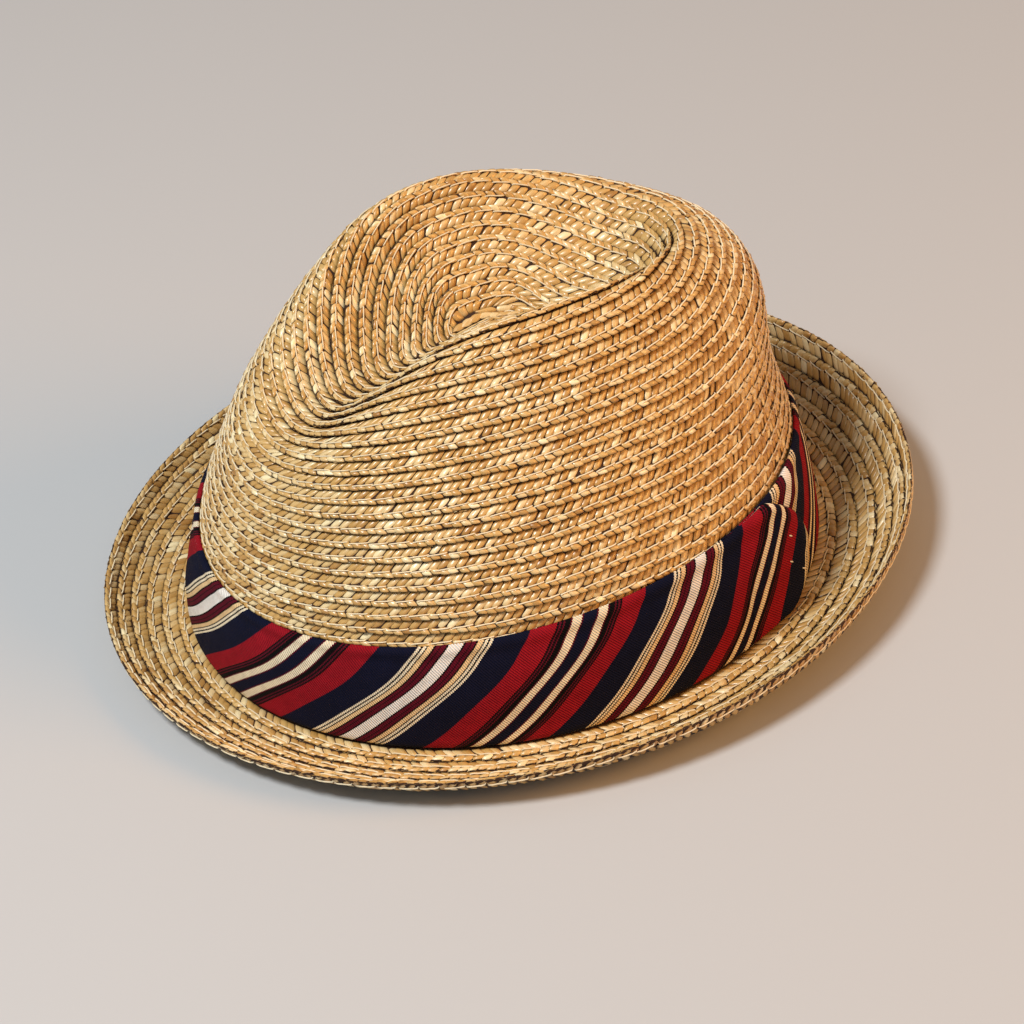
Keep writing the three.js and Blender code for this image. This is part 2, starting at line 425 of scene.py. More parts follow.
@dataclass
class CrownForm(StrawForm):
    """The outside of the crown, as a table of points over turns and shares from the tip down.

    The rows start round a slot at the tip, button_length to its front and back, and button_reach
    is how far its shape is felt. Down the back of the crown they lie closer by back_crowding.
    """

    origin: np.ndarray
    rings: tuple[Ring, ...] = CROWN_RINGS
    front_sharpness: float = 2.8
    back_sharpness: float = 2.0
    twist_turn: float = 292.0
    twist_span: float = 60.0
    twist_lift: float = 1.6
    pinches: tuple[Pinch, ...] = (Pinch(122.0, 4.0), Pinch(238.0, 1.2))
    pinch_spread: float = 24.0
    rows: float = 38.0
    button_length: float = 7.0
    button_reach: float = 16.0
    slot_sharpness: int = 8
    back_crowding: float = 0.19
    crowd_from: float = -0.1
    crowd_span: float = 0.95
    turn_step: float = 0.5
    samples: int = 420
    steps_between_rings: int = 24
    points: np.ndarray = field(init=False)
    normals: np.ndarray = field(init=False)
    lengths: np.ndarray = field(init=False)

    def __post_init__(self) -> None:
        """Fills the table of points, normals and lengths."""
        turns = np.arange(0, 360 + self.turn_step / 2, self.turn_step)
        curves = self._meridians(turns)
        steps = np.linalg.norm(np.diff(curves, axis=1), axis=-1)
        run = np.concatenate([np.zeros((len(turns), 1)), np.cumsum(steps, 1)], 1)
        self.lengths = run[:, -1]
        shares = np.linspace(0, 1, self.samples)
        self.points = np.empty((len(turns), self.samples, 3))
        for i, curve in enumerate(curves):
            for axis in range(3):
                self.points[i, :, axis] = np.interp(shares * run[i, -1], run[i], curve[:, axis])
        down = np.gradient(self.points, axis=1)
        onward = np.roll(self.points[:-1], -1, 0) - np.roll(self.points[:-1], 1, 0)
        self.normals = unit(np.cross(np.concatenate([onward, onward[:1]]), down))
        self.normals[:, 0] = (0, 0, 1)

    def _meridians(self, turns: np.ndarray) -> np.ndarray:
        """Runs a smooth curve through the rings at each turn.

        Args:
            turns: Turns in degrees.

        Returns:
            Points as turns by steps by 3, from the tip to the headline.
        """
        knots = [self._ring_points(ring, turns) for ring in reversed(self.rings)]
        knots = [2 * knots[0] - knots[1], *knots, 2 * knots[-1] - knots[-2]]
        curve = []
        for a, b, c, d in zip(knots, knots[1:], knots[2:], knots[3:]):
            first, second, third = (
                np.maximum(np.linalg.norm(q - p, axis=-1, keepdims=True), 1e-6) ** 0.5
                for p, q in ((a, b), (b, c), (c, d))
            )
            leave = ((b - a) / first - (c - a) / (first + second) + (c - b) / second) * second
            arrive = ((c - b) / second - (d - b) / (second + third) + (d - c) / third) * second
            for share in np.arange(self.steps_between_rings) / self.steps_between_rings:
                cubic = (2 * b - 2 * c + leave + arrive) * share**3
                square = (3 * c - 3 * b - 2 * leave - arrive) * share**2
                curve.append(b + leave * share + square + cubic)
        curve.append(knots[-2])
        return np.stack(curve, 1) + self.origin

    def _ring_points(self, ring: Ring, turns: np.ndarray) -> np.ndarray:
        """Gives a ring's points, twisted, pinched and leaning to the left at the back.

        Args:
            ring: The ring.
            turns: Turns in degrees.

        Returns:
            The points.
        """
        angle = np.radians(turns)
        to_front = np.maximum(0, -np.cos(angle)) ** self.front_sharpness
        to_back = np.maximum(0, np.cos(angle)) ** self.back_sharpness
        height = ring.side_height + (ring.front_height - ring.side_height) * to_front
        height = height + (ring.back_height - ring.side_height) * to_back
        share = (turns - self.twist_turn) / self.twist_span
        twist = np.where(np.abs(share) < 1, -self.twist_lift * np.sin(np.pi * share), 0)
        pinch = np.zeros_like(turns)
        for dent in self.pinches:
            pinch += dent.depth * bell((turns - dent.turn) / self.pinch_spread)
        points = ring.point(turns, height + ring.twist * twist)
        points[:, 0] += ring.lean * np.maximum(0, np.cos(angle))
        return points - ring.outwards(turns) * (ring.pinch * pinch)[:, None]

    def _sample(self, table: np.ndarray, turn: np.ndarray, share: np.ndarray) -> np.ndarray:
        """Reads a table between its entries.

        Args:
            table: A table as turns by samples by 3.
            turn: Turns in degrees.
            share: Shares of the way from the tip to the headline.

        Returns:
            The blended entries.
        """
        column = np.mod(turn, 360) / self.turn_step
        left = np.minimum(column.astype(int), len(table) - 2)
        sample = np.clip(share, 0, 1) * (self.samples - 1)
        top = np.minimum(sample.astype(int), self.samples - 2)
        x = (column - left)[..., None]
        y = (sample - top)[..., None]
        upper = table[left, top] * (1 - x) + table[left + 1, top] * x
        lower = table[left, top + 1] * (1 - x) + table[left + 1, top + 1] * x
        return upper * (1 - y) + lower * y

    def _at(self, turn: np.ndarray, share: np.ndarray) -> tuple[np.ndarray, np.ndarray]:
        """Reads points and normals of the table."""
        return self._sample(self.points, turn, share), unit(self._sample(self.normals, turn, share))

    def _length(self, turn: np.ndarray) -> np.ndarray:
        """Gives the length from the tip to the headline at each turn."""
        table_turns = np.arange(len(self.lengths)) * self.turn_step
        return np.interp(np.mod(turn, 360), table_turns, self.lengths)

    def locate(self, turn: np.ndarray, row: np.ndarray) -> tuple[np.ndarray, np.ndarray]:
        """Finds points of the crown, the rows starting round a narrow button at the tip.

        Args:
            turn: Turns in degrees.
            row: Rows from the tip, which lie closer together down the back of the crown.

        Returns:
            The points and the outward normals there.
        """
        length = self._length(turn)
        backward = np.cos(np.radians(turn))
        back = np.clip((backward - self.crowd_from) / self.crowd_span, 0, 1)
        crowding = self.back_crowding * smooth_step(back)
        share = np.clip(row / self.rows, 0, 1)
        share = share + crowding * share * (1 - share)
        floor = self.rings[-2]
        across = floor.half_width * np.abs(np.sin(np.radians(turn)))
        along = floor.half_length * np.abs(backward)
        across, along = across / np.hypot(across, along), along / np.hypot(across, along)
        reach = share * (length - self.button_length * along)
        offset = self.button_length * across
        round_end = self.button_length * along + np.sqrt(np.maximum(reach**2 - offset**2, 0))
        slot = np.where(reach * along < offset, reach / np.maximum(across, 1e-6), round_end)
        start = self.button_length * np.abs(backward) ** self.slot_sharpness
        distance = start + share * (length - start)
        distance = distance + bell(reach / self.button_reach) * (slot - distance)
        return self._at(turn, distance / length)

    def near_tip(self, sideways: np.ndarray, back: np.ndarray) -> np.ndarray:
        """Finds points of the crown close to its tip.

        Args:
            sideways: Millimetres from the tip along X.
            back: Millimetres from the tip along Y.

        Returns:
            The points.
        """
        floor = self.rings[-2]
        turn = np.degrees(np.arctan2(sideways / floor.half_width, back / floor.half_length))
        return self._at(turn, np.hypot(sideways, back) / self._length(turn))[0]

    def wall(self, turn: np.ndarray, height: np.ndarray) -> tuple[np.ndarray, np.ndarray]:
        """Finds points of the crown's side at heights above the headline.

        Args:
            turn: Turns in degrees.
            height: Heights above the headline, below the ridges.

        Returns:
            The points and the outward normals there.
        """
        column = np.rint(np.mod(turn, 360) / self.turn_step).astype(int)
        half = self.samples // 2
        share = np.empty_like(turn, dtype=float)
        ladder = np.linspace(1, half / (self.samples - 1), self.samples - half)
        for which in np.unique(column):
            here = column == which
            rise = self.points[which, half:, 2][::-1] - self.origin[2]
            share[here] = np.interp(height[here], rise, ladder)
        return self._at(turn, share)


@dataclass
class BrimForm(StrawForm):
    """The upper face of the brim, an arc from the headline to the rim at each turn."""

    origin: np.ndarray
    rows: float = 6.0
    break_slope: float = math.radians(-12)
    rise: Edge = Edge(13.5, 6.3, 0.4)

    def locate(self, turn: np.ndarray, row: np.ndarray) -> tuple[np.ndarray, np.ndarray]:
        """Finds points of the brim's upper face.

        Args:
            turn: Turns in degrees.
            row: Rows from the headline.

        Returns:
            The points and the outward normals there.
        """
        start = HEADLINE.point(turn)
        outwards = RIM.point(turn) - start
        reach = np.linalg.norm(outwards, axis=-1)
        outwards = outwards / reach[..., None]
        rise = self.rise.height(turn)
        rim_slope = 2 * np.arctan2(rise, reach) - self.break_slope
        radius = np.hypot(reach, rise) / (2 * np.sin((rim_slope - self.break_slope) / 2))
        slope = self.break_slope + (rim_slope - self.break_slope) * row / self.rows
        out = radius * (np.sin(slope) - math.sin(self.break_slope))
        height = radius * (math.cos(self.break_slope) - np.cos(slope))
        points = start + outwards * out[..., None]
        points[..., 2] += height
        normals = -outwards * np.sin(slope)[..., None]
        normals[..., 2] += np.cos(slope)
        return points + self.origin, normals


# Finishes


@dataclass
class Tree:
    """Nodes and links of a material or a group, with short ways to add to them."""

    nodes: bpy.types.Nodes
    links: bpy.types.NodeLinks

    def add(self, kind: str, **values: float | tuple[float, ...]) -> bpy.types.Node:
        """Adds a node.

        Args:
            kind: The node's type, without its leading words.
            values: Values of its inputs, by name with _ for a space.

        Returns:
            The node.
        """
        node = self.nodes.new("ShaderNode" + kind)
        for name, value in values.items():
            node.inputs[name.replace("_", " ")].default_value = value
        return node

    def math(
        self, operation: str, first: bpy.types.NodeSocket, *others: bpy.types.NodeSocket | float
    ) -> bpy.types.NodeSocket:
        """Adds a calculation.

        Args:
            operation: What it does.
            first: The socket that it starts from.
            others: The other operands, as sockets or numbers.

        Returns:
            The result's socket.
        """
        node = self.nodes.new("ShaderNodeMath")
        node.operation = operation
        self.links.new(first, node.inputs[0])
        for entry, other in zip(node.inputs[1:], others):
            if isinstance(other, bpy.types.NodeSocket):
                self.links.new(other, entry)
            else:
                entry.default_value = other
        return node.outputs["Value"]

    def ramp(
        self, value: bpy.types.NodeSocket, start: tuple[float, float], end: tuple[float, float]
    ) -> bpy.types.NodeSocket:
        """Maps a range of values to another.

        Args:
            value: The values' socket.
            start: The range that they have.
            end: The range that they get.

        Returns:
            The result's socket.
        """
        node = self.add("MapRange", From_Min=start[0], From_Max=start[1], To_Min=end[0], To_Max=end[1])
        self.links.new(value, node.inputs["Value"])
        return node.outputs["Result"]

    def mix(
        self, share: bpy.types.NodeSocket, first: bpy.types.NodeSocket, second: bpy.types.NodeSocket
    ) -> bpy.types.NodeSocket:
        """Mixes two colours.

        Args:
            share: The second colour's share.
            first: The first colour.
            second: The second colour.

        Returns:
            The mixed colour's socket.
        """
        node = self.nodes.new("ShaderNodeMix")
        node.data_type = "RGBA"
        for name, socket in (("Factor", share), ("A", first), ("B", second)):
            self.links.new(socket, node.inputs[name])
        return node.outputs["Result"]

    def attribute(self, name: str) -> bpy.types.NodeSocket:
        """Reads one of the piece's own attributes.

        Args:
            name: The attribute's name.

        Returns:
            The socket of its values.
        """
        node = self.nodes.new("ShaderNodeAttribute")
        node.attribute_name = name
        return node.outputs["Fac"]

    def laid(self) -> bpy.types.NodeSocket:
        """Reads the piece's own flat coordinates.

        Returns:
            Their socket.
        """
        node = self.nodes.new("ShaderNodeUVMap")
        node.uv_map = "laid"
        return node.outputs["UV"]


def new_material(name: str) -> tuple[bpy.types.Material, Tree, bpy.types.Node]:
    """Makes a material with its shader.

    Args:
        name: The material's name.

    Returns:
        The material, its nodes and its shader.
    """
    material = bpy.data.materials.new(name)
    material.use_nodes = True
    nodes = material.node_tree.nodes
    return material, Tree(nodes, material.node_tree.links), nodes["Principled BSDF"]


@dataclass(frozen=True)
class StrawFibre:
    """What all straw shares: fibres along each straw, patches of tone, and painted shade between straws.

    The streaks and the patches add their shares to a straw's tone. From low_level up, the sum goes
    from shaded over golden to pale. depth is the range of standing clear over which the painted shade
    between straws, a dark colour, gives way to the straw's own colour, and shine the range over which
    the straw gets its gloss.
    """

    stretch: tuple[float, float, float] = (9.0, 0.8, 1.0)
    streak_detail: float = 3.0
    streak_share: float = 0.5
    patch_scale: float = 45.0
    patch_detail: float = 2.0
    patch_share: float = 0.4
    low_level: float = 0.45
    golden_level: float = 0.5
    depth: tuple[float, float] = (0.05, 0.65)
    shine: tuple[float, float] = (0.5, 1.0)
    roughness: tuple[float, float] = (0.26, 0.48)
    deep_roughness: float = 0.45

    def build(self) -> bpy.types.ShaderNodeTree:
        """Makes the node group.

        Returns:
            The group, with a colour, a roughness, a share of the gloss and a height.
        """
        group = bpy.data.node_groups.new("straw_fibre", "ShaderNodeTree")
        sockets = (
            ("INPUT", "Vector", ("Laid",)),
            ("INPUT", "Float", ("Tone", "Unshaded")),
            ("INPUT", "Color", ("Crevice_shade", "Shaded", "Golden", "Pale")),
            ("OUTPUT", "Color", ("Color",)),
            ("OUTPUT", "Float", ("Roughness", "Gloss", "Height")),
        )
        for way, kind, names in sockets:
            for name in names:
                group.interface.new_socket(name, in_out=way, socket_type="NodeSocket" + kind)
        tree = Tree(group.nodes, group.links)
        entry = group.nodes.new("NodeGroupInput").outputs
        leave = group.nodes.new("NodeGroupOutput").inputs
        stretch = tree.add("Mapping", Scale=self.stretch)
        streak = tree.add("TexNoise", Scale=1.0, Detail=self.streak_detail)
        patch = tree.add("TexNoise", Scale=self.patch_scale, Detail=self.patch_detail)
        place = tree.add("TexCoord")
        tree.links.new(entry["Laid"], stretch.inputs["Vector"])
        tree.links.new(stretch.outputs["Vector"], streak.inputs["Vector"])
        tree.links.new(place.outputs["Object"], patch.inputs["Vector"])
        streaks = streak.outputs["Fac"]
        level = tree.math("MULTIPLY_ADD", streaks, self.streak_share, entry["Tone"])
        level = tree.math("MULTIPLY_ADD", patch.outputs["Fac"], self.patch_share, level)
        level = tree.math("SUBTRACT", level, self.low_level)
        golden = tree.ramp(level, (0.0, self.golden_level), (0.0, 1.0))
        pale = tree.ramp(level, (self.golden_level, 1.0), (0.0, 1.0))
        colour = tree.mix(golden, entry["Shaded"], entry["Golden"])
        colour = tree.mix(pale, colour, entry["Pale"])
        # Painted shade: where a point lies sunk between straws, its colour turns to the dark colour of the
        # shade there.
        clear = tree.ramp(entry["Unshaded"], self.depth, (0.0, 1.0))
        dull = tree.ramp(clear, (0.0, 1.0), (self.deep_roughness, 0.0))
        fine = tree.ramp(streaks, (0.0, 1.0), self.roughness)
        tree.links.new(tree.mix(clear, entry["Crevice_shade"], colour), leave["Color"])
        tree.links.new(tree.math("ADD", fine, dull), leave["Roughness"])
        tree.links.new(tree.ramp(entry["Unshaded"], self.shine, (0.0, 1.0)), leave["Gloss"])
        tree.links.new(streaks, leave["Height"])
        return group


@dataclass(frozen=True)
class StrawFinish:
    """Natural straw: its colours from the painted shade between straws to pale, and its gloss."""

    name: str
    crevice_shade: Colour
    shaded: Colour
    golden: Colour
    pale: Colour
    coat: float
    bump: float
    fibre_height: float = 0.0001
    coat_roughness: float = 0.18

    def build(self, fibre: bpy.types.ShaderNodeTree) -> bpy.types.Material:
        """Makes the material.

        Args:
            fibre: The node group of straw.

        Returns:
            The material.
        """
        material, tree, shader = new_material(self.name)
        straw = tree.nodes.new("ShaderNodeGroup")
        straw.node_tree = fibre
        for name in ("crevice_shade", "shaded", "golden", "pale"):
            straw.inputs[name.capitalize()].default_value = getattr(self, name)
        bump = tree.add("Bump", Strength=self.bump, Distance=self.fibre_height)
        tree.links.new(tree.laid(), straw.inputs["Laid"])
        # The per-point mask of standing clear says where the painted shade between straws falls.
        for name in ("tone", "unshaded"):
            tree.links.new(tree.attribute(name), straw.inputs[name.capitalize()])
        tree.links.new(straw.outputs["Color"], shader.inputs["Base Color"])
        tree.links.new(straw.outputs["Roughness"], shader.inputs["Roughness"])
        tree.links.new(straw.outputs["Height"], bump.inputs["Height"])
        tree.links.new(bump.outputs["Normal"], shader.inputs["Normal"])
        gloss = tree.math("MULTIPLY", straw.outputs["Gloss"], self.coat)
        tree.links.new(gloss, shader.inputs["Coat Weight"])
        shader.inputs["Coat Roughness"].default_value = self.coat_roughness
        return material


@dataclass(frozen=True)
class ThreadFinish:
    """Twisted cotton sewing thread, with painted shade along the grooves of its twist."""

    name: str
    colour: Colour
    shade: Colour
    twists: float
    looseness: float = 0.6
    roughness: float = 0.7

    def build(self) -> bpy.types.Material:
        """Makes the material.

        Returns:
            The material.
        """
        material, tree, shader = new_material(self.name)
        wave = tree.add("TexWave", Scale=self.twists, Distortion=self.looseness)
        wave.bands_direction = "DIAGONAL"
        mix = tree.add("Mix")
        mix.data_type = "RGBA"
        mix.inputs["A"].default_value = self.shade
        mix.inputs["B"].default_value = self.colour
        # Painted shade: the diagonal wave mixes the shade colour into the grooves of the twist.
        tree.links.new(tree.laid(), wave.inputs["Vector"])
        tree.links.new(wave.outputs["Fac"], mix.inputs["Factor"])
        tree.links.new(mix.outputs["Result"], shader.inputs["Base Color"])
        shader.inputs["Roughness"].default_value = self.roughness
        return material


@dataclass(frozen=True)
class StripedCloth:
    """Ribbed cloth with woven stripes, mirrored about the middle of its white stripe.

    Lengths are metres. stripe_step is how far the ribs shift a stripe's edge. rib_shade is the range
    of painted shade and painted light over a rib, darker in its grooves and lighter on its crests,
    and wear the range of brightness over the cloth's patches.
    """

    name: str
    repeat: float
    stripes: tuple[tuple[float, Colour], ...]
    rib_pitch: float
    stripe_step: float = 0.00012
    rib_shade: tuple[float, float] = (0.8, 1.15)
    rib_bump: float = 0.8
    rib_height: float = 0.00025
    patch_scale: float = 260.0
    patch_detail: float = 4.0
    patches: tuple[float, float] = (0.3, 0.7)
    wear: tuple[float, float] = (0.86, 1.1)
    roughness: float = 0.78
    specular: float = 0.12

    def build(self) -> bpy.types.Material:
        """Makes the material.

        Returns:
            The material.
        """
        material, tree, shader = new_material(self.name)
        half = self.repeat / 2
        parts = tree.add("SeparateXYZ")
        tree.links.new(tree.laid(), parts.inputs["Vector"])
        rib = tree.math("SINE", tree.math("MULTIPLY", parts.outputs["Y"], 2 * math.pi / self.rib_pitch))
        across = tree.math("MULTIPLY_ADD", rib, self.stripe_step, parts.outputs["X"])
        fold = tree.math("PINGPONG", across, half)
        ramp = tree.nodes.new("ShaderNodeValToRGB")
        ramp.color_ramp.interpolation = "CONSTANT"
        stops = ramp.color_ramp.elements
        stops[0].color = self.stripes[0][1]
        stops.remove(stops[1])
        for start, colour in self.stripes[1:]:
            stops.new(start / half).color = colour
        tree.links.new(tree.math("DIVIDE", fold, half), ramp.inputs["Fac"])
        noise = tree.add("TexNoise", Scale=self.patch_scale, Detail=self.patch_detail)
        place = tree.add("TexCoord")
        tree.links.new(place.outputs["Object"], noise.inputs["Vector"])
        # Painted shade in the grooves of the ribs and painted light on their crests.
        shade = tree.ramp(rib, (-1.0, 1.0), self.rib_shade)
        worn = tree.ramp(noise.outputs["Fac"], self.patches, self.wear)
        tint = tree.nodes.new("ShaderNodeVectorMath")
        tint.operation = "SCALE"
        tree.links.new(ramp.outputs["Color"], tint.inputs["Vector"])
        tree.links.new(tree.math("MULTIPLY", shade, worn), tint.inputs["Scale"])
        tree.links.new(tint.outputs["Vector"], shader.inputs["Base Color"])
        bump = tree.add("Bump", Strength=self.rib_bump, Distance=self.rib_height)
        tree.links.new(rib, bump.inputs["Height"])
        tree.links.new(bump.outputs["Normal"], shader.inputs["Normal"])
        shader.inputs["Roughness"].default_value = self.roughness
        shader.inputs["Specular IOR Level"].default_value = self.specular
        return material


NAVY = linear(14, 18, 44)
RED = linear(160, 20, 36)
MAROON = linear(98, 14, 36)
BLACK = linear(9, 7, 10)
CREAM = linear(255, 240, 208)
WHITE = linear(255, 250, 242)
BEIGE = linear(250, 214, 160)
# Where each stripe starts, in metres from the middle of the white stripe
BAND_STRIPES = (
    (0.0, WHITE),
    (0.0021, BLACK),
    (0.0027, MAROON),
    (0.0042, BLACK),
    (0.00465, MAROON),
    (0.00585, BLACK),
    (0.00645, BEIGE),
    (0.0081, BLACK),
    (0.0086, CREAM),
    (0.0095, BLACK),
    (0.0101, CREAM),
    (0.0111, NAVY),
    (0.0219, RED),
    (0.0299, BLACK),
    (0.03045, MAROON),
    (0.0312, BLACK),
    (0.03175, MAROON),
    (0.03225, BLACK),
    (0.0340, MAROON),
    (0.03435, CREAM),
    (0.0372, MAROON),
    (0.0377, NAVY),
)


@dataclass
class Finishes:
    """The hat's materials, made once."""

    straw: bpy.types.Material = field(init=False)
    tape: bpy.types.Material = field(init=False)
    thread: bpy.types.Material = field(init=False)
    cloth: bpy.types.Material = field(init=False)

    def __post_init__(self) -> None:
        """Builds every material."""
        fibre = StrawFibre().build()
        self.straw = StrawFinish(
            name="glossy_straw",
            # The dark colour of the painted shade between straws.
            crevice_shade=linear(58, 28, 6),
            shaded=linear(165, 117, 55),
            golden=linear(211, 170, 101),
            pale=linear(252, 236, 190),
            coat=0.6,
            bump=0.35,
        ).build(fibre)
        # The tape shows almost only in the gaps between straws, so its dark browns are painted shade
        # there.
        self.tape = StrawFinish(
            name="gap_shade_straw",
            crevice_shade=linear(52, 26, 6),
            shaded=linear(52, 26, 6),
            golden=linear(80, 44, 14),
            pale=linear(100, 60, 22),
            coat=0.0,
            bump=0.3,
        ).build(fibre)
        self.thread = ThreadFinish(
            name="sewing_thread",
            colour=linear(250, 238, 208),
            shade=linear(226, 207, 168),
            twists=5.0,
        ).build()
        self.cloth = StripedCloth(
            name="striped_rib_cloth",
            repeat=0.0795,
            stripes=BAND_STRIPES,
            rib_pitch=0.0007,
        ).build()


# Straw


@dataclass(frozen=True)
class StrawShape:
    """One straw of the plait: a domed patch over a few places across its row.

    across, dome and clear go over the straw's width, clear being how far it stands out from its
    neighbours, and so how little painted shade it gets. The rest goes down its length: the place
    across the row, how far it runs ahead along the row, its width, its fullness, which also sets the
    painted shade towards its ends, and how far it sinks.
    """

    across: tuple[float, ...]
    dome: tuple[float, ...]
    clear: tuple[float, ...]
    places: tuple[float, ...]
    ahead: tuple[float, ...]
    spread: tuple[float, ...]
    fullness: tuple[float, ...]
    drop: tuple[float, ...]

    def unshaded(self) -> np.ndarray:
        """Gives how far each point stands clear of the neighbours, from 0 to 1, low where painted shade
        darkens it.
        """
        return np.outer(self.fullness, self.clear)


LONG_STRAW = StrawShape(
    across=(-0.5, -0.43, 0.0, 0.43, 0.5),
    dome=(-0.16, 0.25, 0.34, 0.28, -0.16),
    clear=(0.0, 0.9, 1.0, 0.9, 0.0),
    places=(-0.02, 0.07, 0.22, 0.4, 0.55, 0.65),
    ahead=(-1.25, -0.95, -0.42, 0.25, 0.82, 1.15),
    spread=(0.72, 0.93, 1.0, 1.0, 0.92, 0.55),
    fullness=(0.15, 0.5, 1.0, 1.0, 0.9, 0.5),
    drop=(-0.25, -0.02, 0.0, 0.0, -0.03, -0.22),
)
SHORT_STRAW = StrawShape(
    across=(-0.53, -0.38, 0.02, 0.4, 0.53),
    dome=(-0.1, 0.28, 0.4, 0.3, -0.1),
    clear=(0.05, 0.9, 1.0, 0.9, 0.05),
    places=(0.63, 0.7, 0.82, 0.94, 1.01),
    ahead=(0.62, 0.38, 0.0, -0.38, -0.62),
    spread=(0.66, 0.96, 1.02, 0.98, 0.72),
    fullness=(0.5, 1.0, 1.0, 1.0, 0.4),
    drop=(-0.12, 0.0, 0.0, -0.06, -0.55),
)
# On the brim the sides of the straws get less painted shade.
BRIM_LONG_STRAW = replace(LONG_STRAW, clear=(0.5, 0.95, 1.0, 0.95, 0.5))
BRIM_SHORT_STRAW = replace(SHORT_STRAW, clear=(0.5, 0.95, 1.0, 0.95, 0.5))
PLAIN_STRAW = StrawShape(
    across=(-0.52, 0.0, 0.52),
    dome=(-0.12, 0.32, -0.12),
    clear=(0.2, 1.0, 0.2),
    places=(-0.2, 0.13, 0.46),
    ahead=(-0.9, 0.0, 0.9),
    spread=(0.8, 1.0, 0.8),
    fullness=(0.7, 1.0, 0.6),
    drop=(-0.1, 0.0, 0.0),
)
PLAIN_RETURN = replace(
    PLAIN_STRAW,
    places=(0.41, 0.7, 1.01),
    ahead=(0.6, 0.0, -0.6),
    fullness=(0.6, 1.0, 0.9),
    drop=(0.0, 0.0, -0.3),
)


@dataclass(frozen=True)
class Unevenness:
    """How the straws of a plait differ: ranges of factors, and spreads of shifts and of tones."""

    widths: tuple[float, float] = (0.94, 1.1)
    slants: tuple[float, float] = (0.85, 1.15)
    bulges: tuple[float, float] = (0.8, 1.2)
    shift: float = 0.13
    place: float = 0.02
    height: float = 0.05
    tilt: float = 0.26
    dip: float = 0.1
    pattern: float = 40.0
    tone: float = 0.48
    tone_spread: float = 0.15
    pale_share: float = 0.1
    pale_gain: float = 0.3


@dataclass(frozen=True)
class StitchShape:
    """One long stitch: points ahead along the row, across it and off the tape, and how these vary."""

    ahead: tuple[float, ...] = (2.9, 2.6, 1.5, 0.0, -1.6, -2.6, -2.9)
    places: tuple[float, ...] = (0.6, 0.605, 0.625, 0.645, 0.67, 0.7, 0.76)
    heights: tuple[float, ...] = (-0.2, 0.35, 0.5, 0.48, 0.46, 0.36, -0.1)
    line: float = 0.6
    spacing: float = 6.2
    radius: float = 0.23
    first_row: float = 0.5
    clear_end: float = 0.1
    lengths: tuple[float, float] = (0.9, 1.06)
    shift: float = 0.25
    wander: float = 0.006
    place: float = 0.014
    height: float = 0.03


